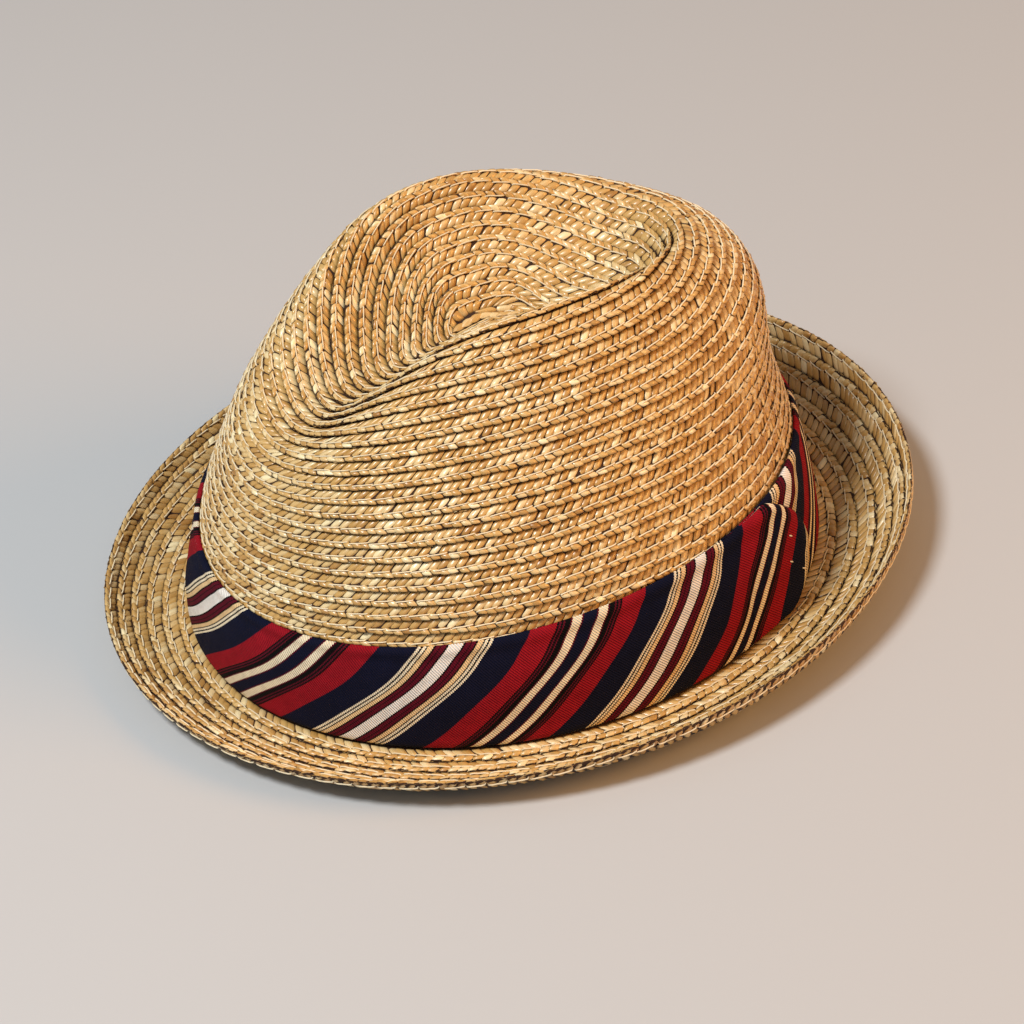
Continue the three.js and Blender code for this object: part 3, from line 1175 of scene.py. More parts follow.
@dataclass(frozen=True)
class Braid:
    """Plaited straw tape sewn in lapped rows, each row's outer edge over the next row.

    last is the row where the tape ends, and lean the way that its straws slant. A row's inner edge
    lies lower than its outer one by lap. It reaches in under the row above by overlap, as a share
    of the row, and is turned up into that row by tuck.
    """

    form: StrawForm
    last: float
    spiral: bool
    lean: int
    pitch: float = 2.7
    thickness: float = 0.8
    lap: float = 1.5
    steps: int = 200
    overlap: float = 0.2
    tuck: float = 0.03
    first_degree: float = 20.0
    clear_end: float = 0.05
    pattern_width: float = 6.0
    pattern_degrees: float = 2.25

    @property
    def section(self) -> np.ndarray:
        """Gives the tape's section, with its inner edge turned up against the row above.

        Returns:
            Points in order round the tape: the place across the row, and how far below its outer face.
        """
        turned_up = self.thickness - self.lap - self.tuck
        return np.array(
            [
                (-self.overlap, turned_up),
                (0.02, 0.06),
                (0.3, 0.0),
                (0.7, 0.0),
                (0.95, 0.1),
                (0.99, 0.4),
                (0.95, self.thickness),
                (0.3, self.thickness),
                (-self.overlap, self.thickness),
                (-self.overlap, turned_up),
            ]
        )

    def stand(self, place: np.ndarray) -> np.ndarray:
        """Gives how far the tape's outer face lies off the form at a place across the row."""
        return self.lap * (place - 1)

    def rows_at(self, run: np.ndarray, place: np.ndarray) -> np.ndarray:
        """Turns a run along the tape into rows.

        Args:
            run: Degrees along the tape.
            place: Places across the row.

        Returns:
            Rows of the form, never past its ends.
        """
        rounds = run / 360 - 1 if self.spiral else np.floor(run / 360 + 1e-9)
        return np.clip(rounds + place, 0, self.last)

    @property
    def whole_run(self) -> float:
        """Degrees along the tape from its start to its end."""
        return (self.last + (1 if self.spiral else 0)) * 360.0

    def _tape_point(self, start: float, span: float, share: np.ndarray, around: np.ndarray) -> np.ndarray:
        """Finds points of the tape's skin.

        Args:
            start: Degrees along the tape where this stretch starts.
            span: Degrees that it takes.
            share: Shares of the stretch.
            around: Shares of the way round the tape's section.

        Returns:
            The points.
        """
        place, sunk = self.section[nearest(around, len(self.section))].T
        run = start + share * span
        rows = self.rows_at(run if self.spiral else np.full_like(run, start), place)
        return self.form.lifted(run, rows, self.stand(place) - sunk)

    def _tape_laid(self, start: float, span: float, share: np.ndarray, around: np.ndarray) -> np.ndarray:
        """Gives the flat coordinates of the tape's skin, for the same arguments."""
        run = start + share * span
        return np.stack([around * self.pattern_width, run / self.pattern_degrees], -1)

    def tape(self, name: str) -> bpy.types.Object:
        """Builds the tape itself, with its thickness.

        Args:
            name: The piece's name.

        Returns:
            The piece.
        """
        span = self.whole_run if self.spiral else 360.0
        starts = [0.0] if self.spiral else [360.0 * row for row in range(int(self.last))]
        columns = math.ceil(span / 360) * self.steps * (1 if self.spiral else 2)
        bends = [
            (partial(self._tape_point, start, span), partial(self._tape_laid, start, span))
            for start in starts
        ]
        return bent_grids(name, columns, len(self.section) - 1, bends)

    def stations(self, spacing: float, place: float) -> tuple[np.ndarray, np.ndarray]:
        """Spaces things evenly along the tape.

        Args:
            spacing: Millimetres from one to the next.
            place: Place across the row.

        Returns:
            Each thing's run in degrees, and the degrees that a millimetre takes there.
        """
        if self.spiral:
            stretches = [np.arange(self.first_degree, self.whole_run + 0.5)]
        else:
            stretches = [360.0 * row + np.arange(361.0) for row in range(int(self.last))]
        runs, rates = [], []
        for run in stretches:
            along = run if self.spiral else np.full_like(run, run[0])
            points, _ = self.form.locate(run, self.rows_at(along, np.full_like(run, place)))
            step = np.linalg.norm(np.diff(points, axis=0), axis=-1)
            length = np.concatenate([[0], np.cumsum(step)])
            count = round(length[-1] / spacing)
            at = np.interp((np.arange(count) + 0.5) / count * length[-1], length, run)
            runs.append(at)
            rates.append(1 / np.maximum(np.interp(at, run[:-1], step), 1e-3))
        return np.concatenate(runs), np.concatenate(rates)

    def _rows_along(self, run: np.ndarray, degrees: np.ndarray, place: np.ndarray) -> np.ndarray:
        """Gives the rows of things that belong to stations.

        Args:
            run: The stations' runs.
            degrees: The runs of the things' own points.
            place: Their places across the row.

        Returns:
            The rows.
        """
        along = degrees if self.spiral else run.reshape(-1, *[1] * (degrees.ndim - 1))
        return self.rows_at(along + 0 * degrees, place)

    def straws(
        self, name: str, shape: StrawShape, face: Face, seed: int, keep: Callable[[np.ndarray], np.ndarray]
    ) -> bpy.types.Object:
        """Lays one of the plait's two sets of straws.

        Args:
            name: The piece's name.
            shape: The straw's shape.
            face: The face of the tape that they lie on.
            seed: Seed of their small differences.
            keep: Says which are kept, from their points.

        Returns:
            The piece.
        """
        uneven = Unevenness()
        rng = np.random.default_rng(seed)
        run, rate = self.stations(self.pitch, 0.5)
        middle = self.rows_at(run, np.full_like(run, 0.5))
        own_middle = self.rows_at(run, np.full_like(run, np.mean(shape.places)))
        points, normals = self.form.locate(run, middle)
        kept = keep(points) & (middle > self.clear_end) & (own_middle < self.last - self.clear_end)
        run, rate = run[kept], rate[kept]
        each = (len(run), 1, 1)
        across = np.array(shape.across)[None, None]
        dome = np.array(shape.dome)[None, None]
        lengthwise = (shape.places, shape.ahead, shape.spread, shape.fullness, shape.drop)
        places, ahead, spread, fullness, drop = (np.array(row)[None, :, None] for row in lengthwise)
        along = across * spread * self.pitch * rng.uniform(*uneven.widths, each)
        along = along + self.lean * face.value * ahead * rng.uniform(*uneven.slants, each)
        along = along + rng.normal(0, uneven.shift, each)
        place = places + 0 * along + rng.normal(0, uneven.place, each)
        bulge = dome * fullness * rng.uniform(*uneven.bulges, each) + rng.normal(0, uneven.height, each)
        bulge = np.where(dome < 0, dome, bulge) + rng.normal(0, uneven.tilt, each) * across + drop
        end_to_end = np.linspace(-1, 1, len(shape.places))[None, :, None]
        bulge = bulge + rng.normal(0, uneven.dip, each) * end_to_end
        degrees = run.reshape(each) + along * rate.reshape(each)
        lift = self.stand(place)
        lift = lift + bulge if face is Face.OUTER else lift - self.thickness - bulge
        offset = rng.uniform(0, uneven.pattern, each) + 0 * along
        tone = rng.normal(uneven.tone, uneven.tone_spread, len(run))
        tone = tone + uneven.pale_gain * (rng.random(len(run)) < uneven.pale_share)
        return Patches(
            points=self.form.lifted(degrees, self._rows_along(run, degrees, place), lift),
            outward=normals[kept] * face.value,
            laid=np.stack([across + offset, 2 * places + offset], -1),
            tone=np.clip(tone, 0, 1),
            # How far each point stands clear, the mask of the painted shade between straws.
            unshaded=np.broadcast_to(shape.unshaded(), along.shape),
        ).build(name)

    def stitches(
        self, name: str, face: Face, seed: int, keep: Callable[[np.ndarray], np.ndarray]
    ) -> bpy.types.Object:
        """Sews a line of long stitches along the tape.

        Args:
            name: The piece's name.
            face: The face of the tape that shows them.
            seed: Seed of their small differences.
            keep: Says which are kept, from their points.

        Returns:
            The piece.
        """
        shape = StitchShape()
        rng = np.random.default_rng(seed)
        run, rate = self.stations(shape.spacing, shape.line)
        middle = self.rows_at(run, np.full_like(run, shape.line))
        inside = (middle > shape.first_row) & (middle < self.last - shape.clear_end)
        kept = keep(self.form.locate(run, middle)[0]) & inside
        run, rate = run[kept], rate[kept]
        each = (len(run), 1)
        along = -self.lean * np.array(shape.ahead)[None] * rng.uniform(*shape.lengths, each)
        along = along + rng.normal(0, shape.shift, each)
        wander = rng.normal(0, shape.wander, along.shape)
        place = np.array(shape.places)[None] + rng.normal(0, shape.place, each) + wander
        height = np.array(shape.heights)[None] + rng.normal(0, shape.height, along.shape)
        degrees = run[:, None] + along * rate[:, None]
        rows = self._rows_along(run, degrees, place)
        stand = self.stand(place)
        lift = stand + height if face is Face.OUTER else stand - self.thickness - height
        normal = self.form.locate(degrees, rows)[1] * face.value
        return threads(name, self.form.lifted(degrees, rows, lift), normal, shape.radius)


@dataclass(frozen=True)
class ButtonShape:
    """The straws that close the tip of the crown: two columns of them, slanting towards each other."""

    rows: int = 7
    half_length: float = 8.0
    points: int = 5
    half_width: float = 0.805
    roundness: float = 1.05
    least_width: float = 0.05
    apart: float = 1.15
    spread: float = 0.5
    reach: float = 1.9
    slant: float = 1.0
    height: float = 0.55
    side_drop: float = 0.5
    end_drop: float = 0.3
    uneven: float = 0.1
    pattern: float = 40.0
    tones: tuple[float, float] = (0.4, 0.75)
    clear: float = 1.1
    end_shade: float = 0.5
    seed: int = 16


@dataclass
class Crown:
    """The crown: one spiral of braid from the button at its tip to the headline.

    On the outside, straws and stitches end below the band's top by hidden.
    """

    form: CrownForm
    finishes: Finishes
    band_top: Edge
    hidden: float = 6.0

    def shown(self, points: np.ndarray) -> np.ndarray:
        """Says which points are above the part that the band covers.

        Args:
            points: Points of the crown.

        Returns:
            True for each point that shows.
        """
        y = points[:, 1] - self.form.origin[1] - HEADLINE.middle
        turn = np.degrees(np.arctan2(points[:, 0] / HEADLINE.half_width, y / HEADLINE.half_length))
        return points[:, 2] - self.form.origin[2] > self.band_top.height(turn) - self.hidden

    def button(self) -> bpy.types.Object:
        """Lays the few straws that close the start of the spiral.

        Returns:
            The piece.
        """
        shape = ButtonShape()
        rng = np.random.default_rng(shape.seed)
        rows = np.linspace(-shape.half_length, shape.half_length, shape.rows)
        side, row = (grid.reshape(-1, 1, 1) for grid in np.meshgrid([-1, 1], rows))
        u = np.linspace(-1, 1, shape.points)[None, None]
        v = np.linspace(-1, 1, shape.points)[None, :, None]
        width = shape.half_width * np.sqrt(np.maximum(shape.roundness - v**2, shape.least_width))
        sideways = side * (shape.apart + shape.spread * v) + u * width
        back = row + shape.reach * v - shape.slant * side * u
        bulge = shape.height - shape.side_drop * u**2 - shape.end_drop * v**2
        points = self.form.near_tip(sideways, back)
        points[..., 2] += bulge + rng.normal(0, shape.uneven, row.shape)
        offset = rng.uniform(0, shape.pattern, row.shape) + 0 * sideways
        # Painted shade: the button's straws darken towards their sides and, by end_shade, towards their
        # ends.
        unshaded = np.clip(shape.clear - u**4 - shape.end_shade * v**4, 0, 1)
        return Patches(
            points=points,
            outward=np.tile([0.0, 0.0, 1.0], (len(row), 1)),
            laid=np.stack([u + offset, v + offset], -1),
            tone=rng.uniform(*shape.tones, len(row)),
            unshaded=np.broadcast_to(unshaded, sideways.shape),
        ).build("crown_button")

    def build(self) -> list[bpy.types.Object]:
        """Builds and dresses the crown.

        Returns:
            Its pieces, the tape first.
        """
        braid = Braid(self.form, last=self.form.rows, spiral=True, lean=1)
        tape = braid.tape("crown_tape")
        straws = [
            braid.straws("crown_long_straws", LONG_STRAW, Face.OUTER, seed=11, keep=self.shown),
            braid.straws("crown_short_straws", SHORT_STRAW, Face.OUTER, seed=12, keep=self.shown),
            braid.straws("crown_inner_straws", PLAIN_STRAW, Face.INNER, seed=14, keep=everywhere),
            braid.straws("crown_inner_returns", PLAIN_RETURN, Face.INNER, seed=15, keep=everywhere),
            self.button(),
        ]
        stitches = braid.stitches("crown_stitches", Face.OUTER, seed=13, keep=self.shown)
        dress([tape], self.finishes.tape)
        dress(straws, self.finishes.straw)
        dress([stitches], self.finishes.thread)
        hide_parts("crown")
        return [tape, *straws, stitches]


@dataclass
class Brim:
    """The brim: rows of braid from the headline out to the rim, finished on both faces."""

    form: BrimForm
    finishes: Finishes
    pitch: float = 2.75
    lap: float = 0.9
    tuck: float = 0.7

    def build(self) -> list[bpy.types.Object]:
        """Builds and dresses the brim.

        Returns:
            Its pieces, the tape first.
        """
        braid = Braid(
            self.form,
            last=self.form.rows,
            spiral=False,
            lean=-1,
            pitch=self.pitch,
            lap=self.lap,
            tuck=self.tuck,
        )
        tape = braid.tape("brim_tape")
        straws = [
            braid.straws("brim_long_straws", BRIM_LONG_STRAW, Face.OUTER, seed=21, keep=everywhere),
            braid.straws("brim_short_straws", BRIM_SHORT_STRAW, Face.OUTER, seed=22, keep=everywhere),
            braid.straws("brim_under_straws", PLAIN_STRAW, Face.INNER, seed=23, keep=everywhere),
            braid.straws("brim_under_returns", PLAIN_RETURN, Face.INNER, seed=24, keep=everywhere),
        ]
        sewn = [
            braid.stitches("brim_stitches", Face.OUTER, seed=25, keep=everywhere),
            braid.stitches("brim_under_stitches", Face.INNER, seed=26, keep=everywhere),
        ]
        dress([tape], self.finishes.tape)
        dress(straws, self.finishes.straw)
        dress(sewn, self.finishes.thread)
        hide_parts("brim")
        return [tape, *straws, *sewn]


# Band


@dataclass(frozen=True)
class Fold:
    """A soft fold across the band: its turn, how far it stands out, and its spread in degrees."""

    turn: float
    depth: float
    spread: float


@dataclass(frozen=True)
class Roll:
    """A roll or hollow along the band: its share of the height, how far out it stands, its spread."""

    share: float
    depth: float
    spread: float


@dataclass(frozen=True)
class Waver:
    """A slight waver of the stripes: its size, and its lengths along the band and up it."""

    size: float
    along: float
    up: float


BAND_FOLDS = (
    Fold(66, 0.5, 7),
    Fold(92, -0.4, 9),
    Fold(118, 0.5, 8),
    Fold(143, -0.4, 7),
    Fold(163, 0.7, 6),
    Fold(181, -0.5, 5),
    Fold(196, 0.8, 6),
    Fold(236, 0.4, 9),
    Fold(288, -0.4, 9),
    Fold(335, 0.4, 8),
)


@dataclass
class Band:
    """The striped cloth band, laid round the foot of the crown.

    Its stripes lean by stripe_slope at the back and more towards the front, and bend as they rise.
    At the lap they are gathered by tuck_shifts at tuck_runs, from gather_from upwards.
    """

    form: CrownForm
    finishes: Finishes
    top: Edge = Edge(36.5, 5.0, -2.0)
    foot: float = 0.6
    thickness: float = 1.2
    puff: float = 0.9
    folds: tuple[Fold, ...] = BAND_FOLDS
    fold_lean: float = 18.0
    rolls: tuple[Roll, ...] = (Roll(0.95, 0.35, 0.035), Roll(0.86, -0.25, 0.04))
    tuck_turn: float = 46.0
    tuck_degrees: float = 5.0
    tuck_share: float = 0.86
    tuck_spread: float = 0.13
    tuck_depth: float = 1.6
    seam_turn: float = 58.0
    white_at: float = 131.2
    stripe_slope: float = 0.86
    slope_gain: float = 0.2
    slope_turn: float = 55.0
    slope_span: float = 110.0
    stripe_rise: float = 1.2
    stripe_bend: float = 0.006
    stripe_start: float = 21.6
    wavers: tuple[Waver, ...] = (Waver(0.6, 9.5, 7.0), Waver(0.4, 31.0, 3.1))
    rib_lean: float = 0.72
    slack: float = 31.0
    slack_turn: float = 200.0
    slack_span: float = 180.0
    tuck_runs: tuple[float, ...] = (62.0, 74.0, 79.0, 90.0, 100.0, 113.0)
    tuck_shifts: tuple[float, ...] = (-14.0, -9.0, -6.5, -4.0, -4.0, 0.0)
    gather_from: float = 2.0
    gather_span: float = 14.0
    measured_height: float = 20.0
    measured_stand: float = 2.1
    foot_shares: tuple[float, ...] = (0.0, 0.02)
    plain_shares: tuple[float, float] = (0.06, 0.84)
    plain_steps: int = 22
    top_shares: tuple[float, ...] = (0.87, 0.9, 0.925, 0.95, 0.975, 0.992, 1.0)
    inside_shares: tuple[float, ...] = (0.985, 0.9, 0.5, 0.1, 0.0)
    rounded_shares: tuple[float, ...] = (0.0, 0.02, 0.06, 0.95, 0.975, 0.992, 1.0)
    rounded_depths: tuple[float, ...] = (0.6, 0.2, 0.0, 0.0, 0.12, 0.4, 0.8)
    columns: int = 540
    length: float = field(init=False)
    _turns: np.ndarray = field(init=False)
    _runs: np.ndarray = field(init=False)
    _section: np.ndarray = field(init=False)

    def __post_init__(self) -> None:
        """Measures the band round its middle, and lays out its section.

        The section has a share of the height, a depth below the cloth's outside and whether it is
        on the inside, for each point round it.
        """
        self._turns = np.arange(0, 361.0)
        points, normals = self.form.wall(self._turns, np.full_like(self._turns, self.measured_height))
        points = points + normals * self.measured_stand
        steps = np.linalg.norm(np.diff(points, axis=0), axis=-1)
        self._runs = np.concatenate([[0], np.cumsum(steps)])
        self.length = float(self._runs[-1])
        plain = np.linspace(*self.plain_shares, self.plain_steps)
        outside = np.concatenate([self.foot_shares, plain, self.top_shares])
        sunk = np.interp(outside, self.rounded_shares, self.rounded_depths)
        inside = [(share, 0.0, 1.0) for share in self.inside_shares]
        rows = [(share, depth, 0.0) for share, depth in zip(outside, sunk)]
        self._section = np.array([*rows, *inside, rows[0]])

    def stand(self, turn: np.ndarray, share: np.ndarray) -> np.ndarray:
        """Gives how far the outside of the cloth stands off the crown.

        Args:
            turn: Turns in degrees.
            share: Shares of the band's height.

        Returns:
            Millimetres off the crown.
        """
        folds = np.zeros_like(turn)
        for fold in self.folds:
            gap = turn_gap(turn + self.fold_lean * (share - 0.5), fold.turn)
            folds += fold.depth * bell(gap / fold.spread)
        puff = np.maximum((self.puff + folds) * np.sin(np.pi * share), 0)
        rolls = sum(roll.depth * bell((share - roll.share) / roll.spread) for roll in self.rolls)
        beside_tuck = bell(turn_gap(turn, self.tuck_turn) / self.tuck_degrees)
        tuck = self.tuck_depth * beside_tuck * bell((share - self.tuck_share) / self.tuck_spread)
        return PIECE_GAP + self.thickness + puff + rolls + tuck

    def height(self, turn: np.ndarray, share: np.ndarray) -> np.ndarray:
        """Gives heights above the headline for shares of the band's height."""
        return self.foot + (self.top.height(turn) - self.foot) * share

    def point(self, turn: np.ndarray, share: np.ndarray, stand: np.ndarray) -> np.ndarray:
        """Finds points on or over the band.

        Args:
            turn: Turns in degrees.
            share: Shares of the band's height.
            stand: Millimetres off the crown.

        Returns:
            The points.
        """
        points, normals = self.form.wall(turn, self.height(turn, share))
        return points + normals * stand[..., None]

    def run(self, turn: np.ndarray) -> np.ndarray:
        """Gives the length along the band at each turn, past 360 too."""
        rounds = np.floor(turn / 360)
        return np.interp(turn - rounds * 360, self._turns, self._runs) + rounds * self.length

    def weave(self, turn: np.ndarray, share: np.ndarray, run: np.ndarray) -> np.ndarray:
        """Gives the cloth's own coordinates: across its stripes and along them, in metres.

        Args:
            turn: Turns in degrees, past 360 where the band overlaps its start.
            share: Shares of the band's height.
            run: Length along the band.

        Returns:
            The two coordinates.
        """
        height = self.height(turn, share)
        to_front = np.clip((turn - self.slope_turn) / self.slope_span, 0, 1)
        slope = self.stripe_slope + self.slope_gain * to_front
        bias = slope * (self.stripe_rise * height - self.stripe_bend * height**2 - self.stripe_start)
        waver = sum(each.size * np.sin(run / each.along + height / each.up) for each in self.wavers)
        slack = self.slack * smooth_step(np.clip((turn - self.slack_turn) / self.slack_span, 0, 1))
        gather = np.clip((height - self.gather_from) / self.gather_span, 0, 1)
        gathered = np.interp(run, self.tuck_runs, self.tuck_shifts) * gather
        stripes = run + bias + waver + slack + gathered - self.white_at
        return np.stack([stripes, (height - run) * self.rib_lean], -1) * MILLIMETRE

    def _skin(self, share: np.ndarray, around: np.ndarray) -> np.ndarray:
        """Finds points of the cloth's skin.

        Args:
            share: Shares of the way along the band from its seam.
            around: Shares of the way round its section.

        Returns:
            The points.
        """
        height, sunk, inside = self._section[nearest(around, len(self._section))].T
        turn = self.seam_turn + share * 360
        stand = np.where(inside > 0, PIECE_GAP, self.stand(turn, height) - sunk)
        return self.point(turn, height, stand)

    def _skin_laid(self, share: np.ndarray, around: np.ndarray) -> np.ndarray:
        """Gives the cloth's own coordinates.

        Args:
            share: Shares of the way along the band from its seam.
            around: Shares of the way round its section.

        Returns:
            The two coordinates.
        """
        height = self._section[nearest(around, len(self._section)), 0]
        turn = self.seam_turn + share * 360
        return self.weave(turn, height, self.run(turn))

    def build(self) -> list[bpy.types.Object]:
        """Builds and dresses the band.

        Returns:
            The band.
        """
        bends = [(self._skin, self._skin_laid)]
        band = bent_grids("band_cloth", self.columns, len(self._section) - 1, bends)
        dress([band], self.finishes.cloth)
        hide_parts("hat_band")
        return [band]


@dataclass
class BandEnd:
    """The folded end of the band, lapped over its start and caught with a few stitches.

    Its back edge is a soft fold that leaves the corners and bulges backwards below mid-height.
    """

    band: Band
    finishes: Finishes
    corner_turn: float = 56.5
    fold_turn: float = 46.0
    front_turn: float = 69.0
    corner_thickness: float = 1.6
    fold_thickness: float = 3.8
    lowness: float = 0.85
    roundness: float = 0.75
    clearance: float = 0.08
    front_sink: float = 0.4
    front_ease: float = 1.4
    rim_share: float = 0.05
    rim_thickness: float = 0.35
    nose: float = 2.6
    outer_steps: int = 22
    fold_steps: int = 10
    under_steps: int = 6
    rows: int = 40
    stitch_spots: tuple[tuple[float, float], ...] = ((53.0, 0.64), (54.0, 0.43), (51.0, 0.28))
    stitch_reach: tuple[float, ...] = (-0.45, -0.3, 0.0, 0.3, 0.45)
    stitch_arch: tuple[float, ...] = (-0.25, 0.12, 0.2, 0.12, -0.25)
    stitch_degrees: float = 0.5
    stitch_slant: float = 0.02
    stitch_radius: float = 0.26
    _turn: np.ndarray = field(init=False)
    _share: np.ndarray = field(init=False)
    _rise: np.ndarray = field(init=False)
    _points: np.ndarray = field(init=False)

    def __post_init__(self) -> None:
        """Lays out the end's section from its front over the fold and back under it."""
        share = (0.5 - 0.5 * np.cos(np.linspace(0, math.pi, self.rows + 1)))[:, None]
        bulge = np.maximum(np.sin(np.pi * share**self.lowness), 0) ** self.roundness
        back = self.corner_turn + (self.fold_turn - self.corner_turn) * bulge
        gain = self.fold_thickness - self.corner_thickness
        thickness = self.corner_thickness + gain * np.sqrt(bulge)
        rim = np.clip(np.minimum(share, 1 - share) / self.rim_share, 0, 1)
        rounding = self.rim_thickness + (1 - self.rim_thickness) * np.sqrt(1 - (1 - rim) ** 2)
        thickness = thickness * rounding
        degree = self.band.length / 360
        inset = self.nose * thickness / 2 / degree
        outer = np.linspace(0, 1, self.outer_steps)[None]
        swing = np.radians(np.linspace(90, -90, self.fold_steps + 2)[1:-1])[None]
        under = np.linspace(0, 1, self.under_steps)[None]
        turns = [
            self.front_turn + (back + inset - self.front_turn) * outer,
            back + inset * (1 - np.cos(swing)),
            back + inset + (self.front_turn - back - inset) * under,
        ]
        rises = [
            (thickness + self.front_sink) * outer**self.front_ease - self.front_sink,
            thickness * (0.5 + 0.5 * np.sin(swing)),
            np.zeros_like(back) - self.front_sink * under**2,
        ]
        self._turn = np.concatenate(turns, 1)
        self._share = np.broadcast_to(share, self._turn.shape)
        self._rise = np.concatenate(rises, 1) + self.clearance
        stand = self.band.stand(self._turn, self._share) + self._rise
        self._points = self.band.point(self._turn, self._share, stand)

    def _index(self, around: np.ndarray, up: np.ndarray) -> tuple[np.ndarray, np.ndarray]:
        """Turns shares of the grid into places in the tables."""
        rows, columns = self._turn.shape
        return nearest(up, rows), nearest(around, columns)

    def _skin(self, around: np.ndarray, up: np.ndarray) -> np.ndarray:
        """Finds points of the cloth's skin.

        Args:
            around: Shares of the way round the end's section.
            up: Shares of the way up.

        Returns:
            The points.
        """
        return self._points[self._index(around, up)]

    def _skin_laid(self, around: np.ndarray, up: np.ndarray) -> np.ndarray:
        """Gives the cloth's own coordinates, which run on over the fold.

        Args:
            around: Shares of the way round the end's section.
            up: Shares of the way up.

        Returns:
            The two coordinates.
        """
        steps = np.linalg.norm(np.diff(self._points, axis=1), axis=-1)
        gone = np.concatenate([np.zeros((len(steps), 1)), np.cumsum(steps, 1)], 1)
        front = np.full_like(gone, self.front_turn)
        laid = self.band.weave(front, self._share, self.band.run(front) - gone)
        return laid[self._index(around, up)]

    def stitches(self) -> bpy.types.Object:
        """Makes the small stitches that catch the end.

        Returns:
            The piece.
        """
        spots = np.array(self.stitch_spots)
        reach = np.array(self.stitch_reach)[None]
        turn = spots[:, :1] + self.stitch_degrees * reach
        share = spots[:, 1:] + self.stitch_slant * reach
        shown = self.outer_steps + self.fold_steps // 2
        rise = np.empty_like(turn)
        for i, spot in enumerate(spots):
            row = np.argmin(np.abs(self._share[:, 0] - spot[1]))
            rise[i] = np.interp(turn[i], self._turn[row, shown::-1], self._rise[row, shown::-1])
        stand = self.band.stand(turn, share) + rise + np.array(self.stitch_arch)
        middle = self.band.point(turn, share, stand)
        normal = self.band.form.wall(turn, self.band.height(turn, share))[1]
        return threads("band_end_stitches", middle, normal, self.stitch_radius)

    def build(self) -> list[bpy.types.Object]:
        """Builds and dresses the end.

        Returns:
            The end and its stitches.
        """
        columns = self._turn.shape[1] - 1
        end = bent_grids("band_end_cloth", columns, self.rows, [(self._skin, self._skin_laid)])
        stitches = self.stitches()
        dress([end], self.finishes.cloth)
        dress([stitches], self.finishes.thread)
        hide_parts("band_end")
        return [end, stitches]


# Studio


@dataclass(frozen=True)
class Lamp:
    """A soft disk light: the way to it from the hat as the camera sees it, and what it gives."""

    name: str
    right: float
    nearer: float
    above: float
    distance: float
    size: float
    power: float
    colour: tuple[float, float, float]


LAMPS = (
    Lamp(
        "window",
        right=-0.45,
        nearer=0.36,
        above=1.05,
        distance=1.6,
        size=0.4,
        power=20.5,
        colour=(1.0, 0.985, 0.96),
    ),
    Lamp(
        "warm_fill",
        right=1.0,
        nearer=0.25,
        above=0.65,
        distance=1.6,
        size=0.8,
        power=14.5,
        colour=(1.0, 0.43, 0.07),
    ),
)


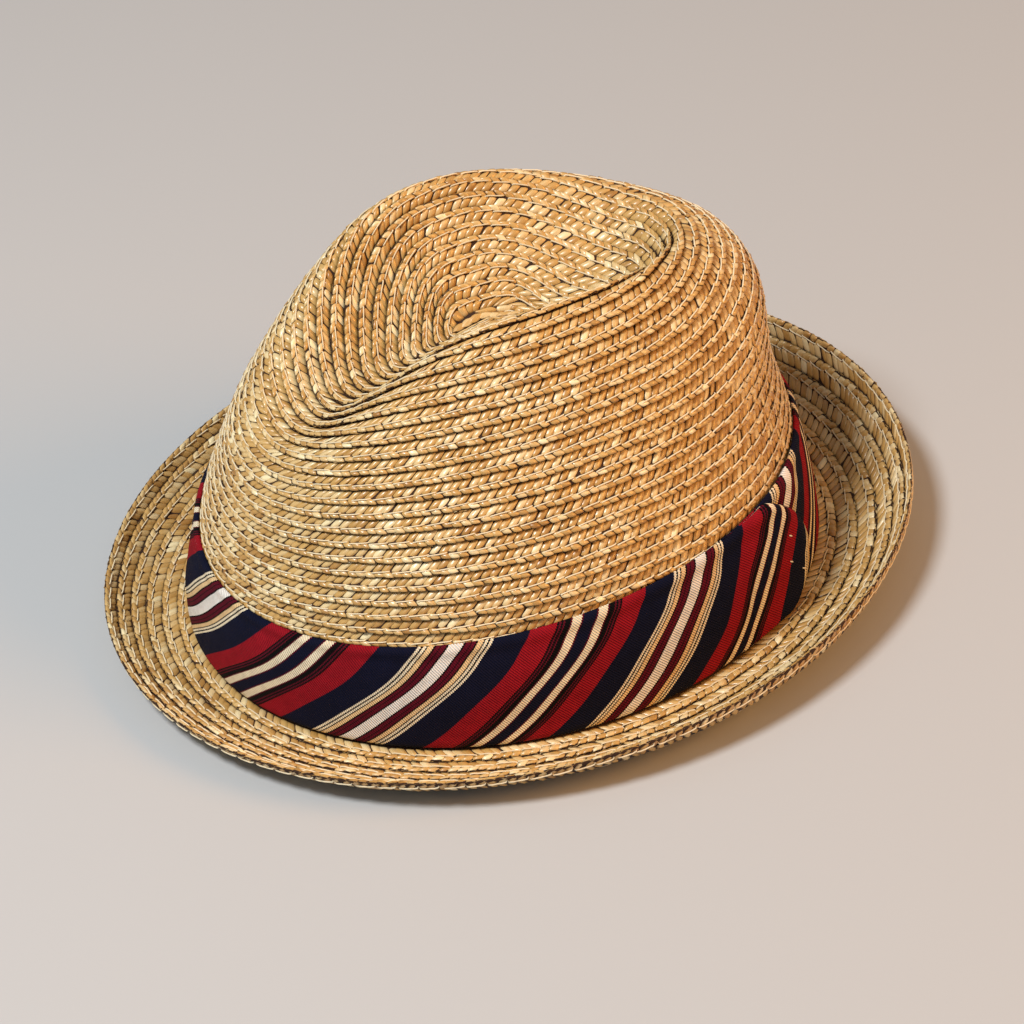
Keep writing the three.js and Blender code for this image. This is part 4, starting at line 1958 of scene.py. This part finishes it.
@dataclass(frozen=True)
class Studio:
    """Floor, lights and camera, which is placed by where the picture has the hat."""

    target: tuple[float, float, float]
    azimuth: float = 63.2
    elevation: float = 38.6
    roll: float = 4.05
    distance: float = 1.0769
    focal_pixels: float = 3500.0
    image: float = 1024.0
    target_pixel: tuple[float, float] = (513.9, 549.6)
    sensor_width: float = 36.0
    clip_end: float = 20.0
    lamps: tuple[Lamp, ...] = LAMPS
    floor_half_width: float = 6.0
    floor_colour: Colour = linear(190, 194, 198)
    floor_roughness: float = 0.85
    world_colour: Colour = (1.0, 0.98, 0.95, 1.0)
    world_strength: float = 0.25

    def axes(self) -> tuple[Vector, Vector, Vector]:
        """Gives the way to the camera, and the picture's right and up before it is rolled.

        Returns:
            The three axes.
        """
        turn = math.radians(self.azimuth)
        rise = math.radians(self.elevation)
        level = Vector((math.sin(turn), -math.cos(turn), 0))
        towards = level * math.cos(rise) + Vector((0, 0, math.sin(rise)))
        right = Vector((math.cos(turn), math.sin(turn), 0))
        return towards, right, towards.cross(right)

    def camera(self) -> None:
        """Places the camera, aimed so that the hat lands where the picture has it."""
        towards, right, up = self.axes()
        roll = math.radians(self.roll)
        picture_right = right * math.cos(roll) - up * math.sin(roll)
        picture_up = right * math.sin(roll) + up * math.cos(roll)
        off_x = self.target_pixel[0] - self.image / 2
        off_y = self.target_pixel[1] - self.image / 2
        forward = (-towards * self.focal_pixels - picture_right * off_x + picture_up * off_y).normalized()
        back = -forward
        side = picture_up.cross(back).normalized()
        top = back.cross(side)
        data = bpy.data.cameras.new("camera")
        data.sensor_width = self.sensor_width
        data.lens = self.focal_pixels * self.sensor_width / self.image
        data.clip_end = self.clip_end
        camera = bpy.data.objects.new("camera", data)
        spot = Vector(self.target) + towards * self.distance
        turned = Matrix((side, top, back)).transposed().to_4x4()
        camera.matrix_world = Matrix.Translation(spot) @ turned
        bpy.context.scene.collection.objects.link(camera)
        bpy.context.scene.camera = camera

    def light(self, lamp: Lamp) -> None:
        """Hangs one soft light that looks at the hat.

        Args:
            lamp: The light.
        """
        towards, right, _ = self.axes()
        nearer = Vector((towards.x, towards.y, 0)).normalized()
        way = right * lamp.right + nearer * lamp.nearer + Vector((0, 0, lamp.above))
        data = bpy.data.lights.new(lamp.name, "AREA")
        data.shape = "DISK"
        data.size = lamp.size
        data.energy = lamp.power
        data.color = lamp.colour
        light = bpy.data.objects.new(lamp.name, data)
        light.location = Vector(self.target) + way.normalized() * lamp.distance
        light.rotation_euler = (-way).to_track_quat("-Z", "Y").to_euler()
        bpy.context.scene.collection.objects.link(light)

    def build(self) -> None:
        """Builds the floor, hangs the lights and places the camera."""
        ground = bmesh.new()
        bmesh.ops.create_grid(ground, x_segments=1, y_segments=1, size=self.floor_half_width)
        mesh = bpy.data.meshes.new("floor")
        ground.to_mesh(mesh)
        ground.free()
        floor = new_object("floor", mesh)
        material, _, shader = new_material("floor_paper")
        shader.inputs["Base Color"].default_value = self.floor_colour
        shader.inputs["Roughness"].default_value = self.floor_roughness
        dress([floor], material)
        for lamp in self.lamps:
            self.light(lamp)
        world = bpy.data.worlds.new("studio")
        world.use_nodes = True
        background = world.node_tree.nodes["Background"]
        background.inputs["Color"].default_value = self.world_colour
        background.inputs["Strength"].default_value = self.world_strength
        bpy.context.scene.world = world
        bpy.context.scene.view_settings.view_transform = "Standard"
        self.camera()


def main() -> None:
    """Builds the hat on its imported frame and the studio."""
    logging.basicConfig(level=logging.INFO, format="%(message)s")
    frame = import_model()
    LOG.info("frame: %d solids", len(frame["nodes"]))
    low, high = (np.array(corner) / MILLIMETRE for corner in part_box("crown"))
    origin = np.array([0.0, (low[1] + high[1]) / 2 - HEADLINE.middle, low[2] - PIECE_GAP])
    finishes = Finishes()
    crown_form = CrownForm(origin)
    band = Band(crown_form, finishes)
    straw_pieces = Crown(crown_form, finishes, band.top).build()
    straw_pieces += Brim(BrimForm(origin), finishes).build()
    cloth_pieces = band.build() + BandEnd(band, finishes).build()
    for slot, pieces in ((Slot.STRAW, straw_pieces), (Slot.BAND_CLOTH, cloth_pieces)):
        for piece in pieces:
            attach(piece, "root")
            triangles = sum(len(face.vertices) - 2 for face in piece.data.polygons)
            LOG.info("%s: %d triangles", piece.name, triangles)
    Studio(tuple(origin * MILLIMETRE)).build()


if __name__ == "__main__":
    main()
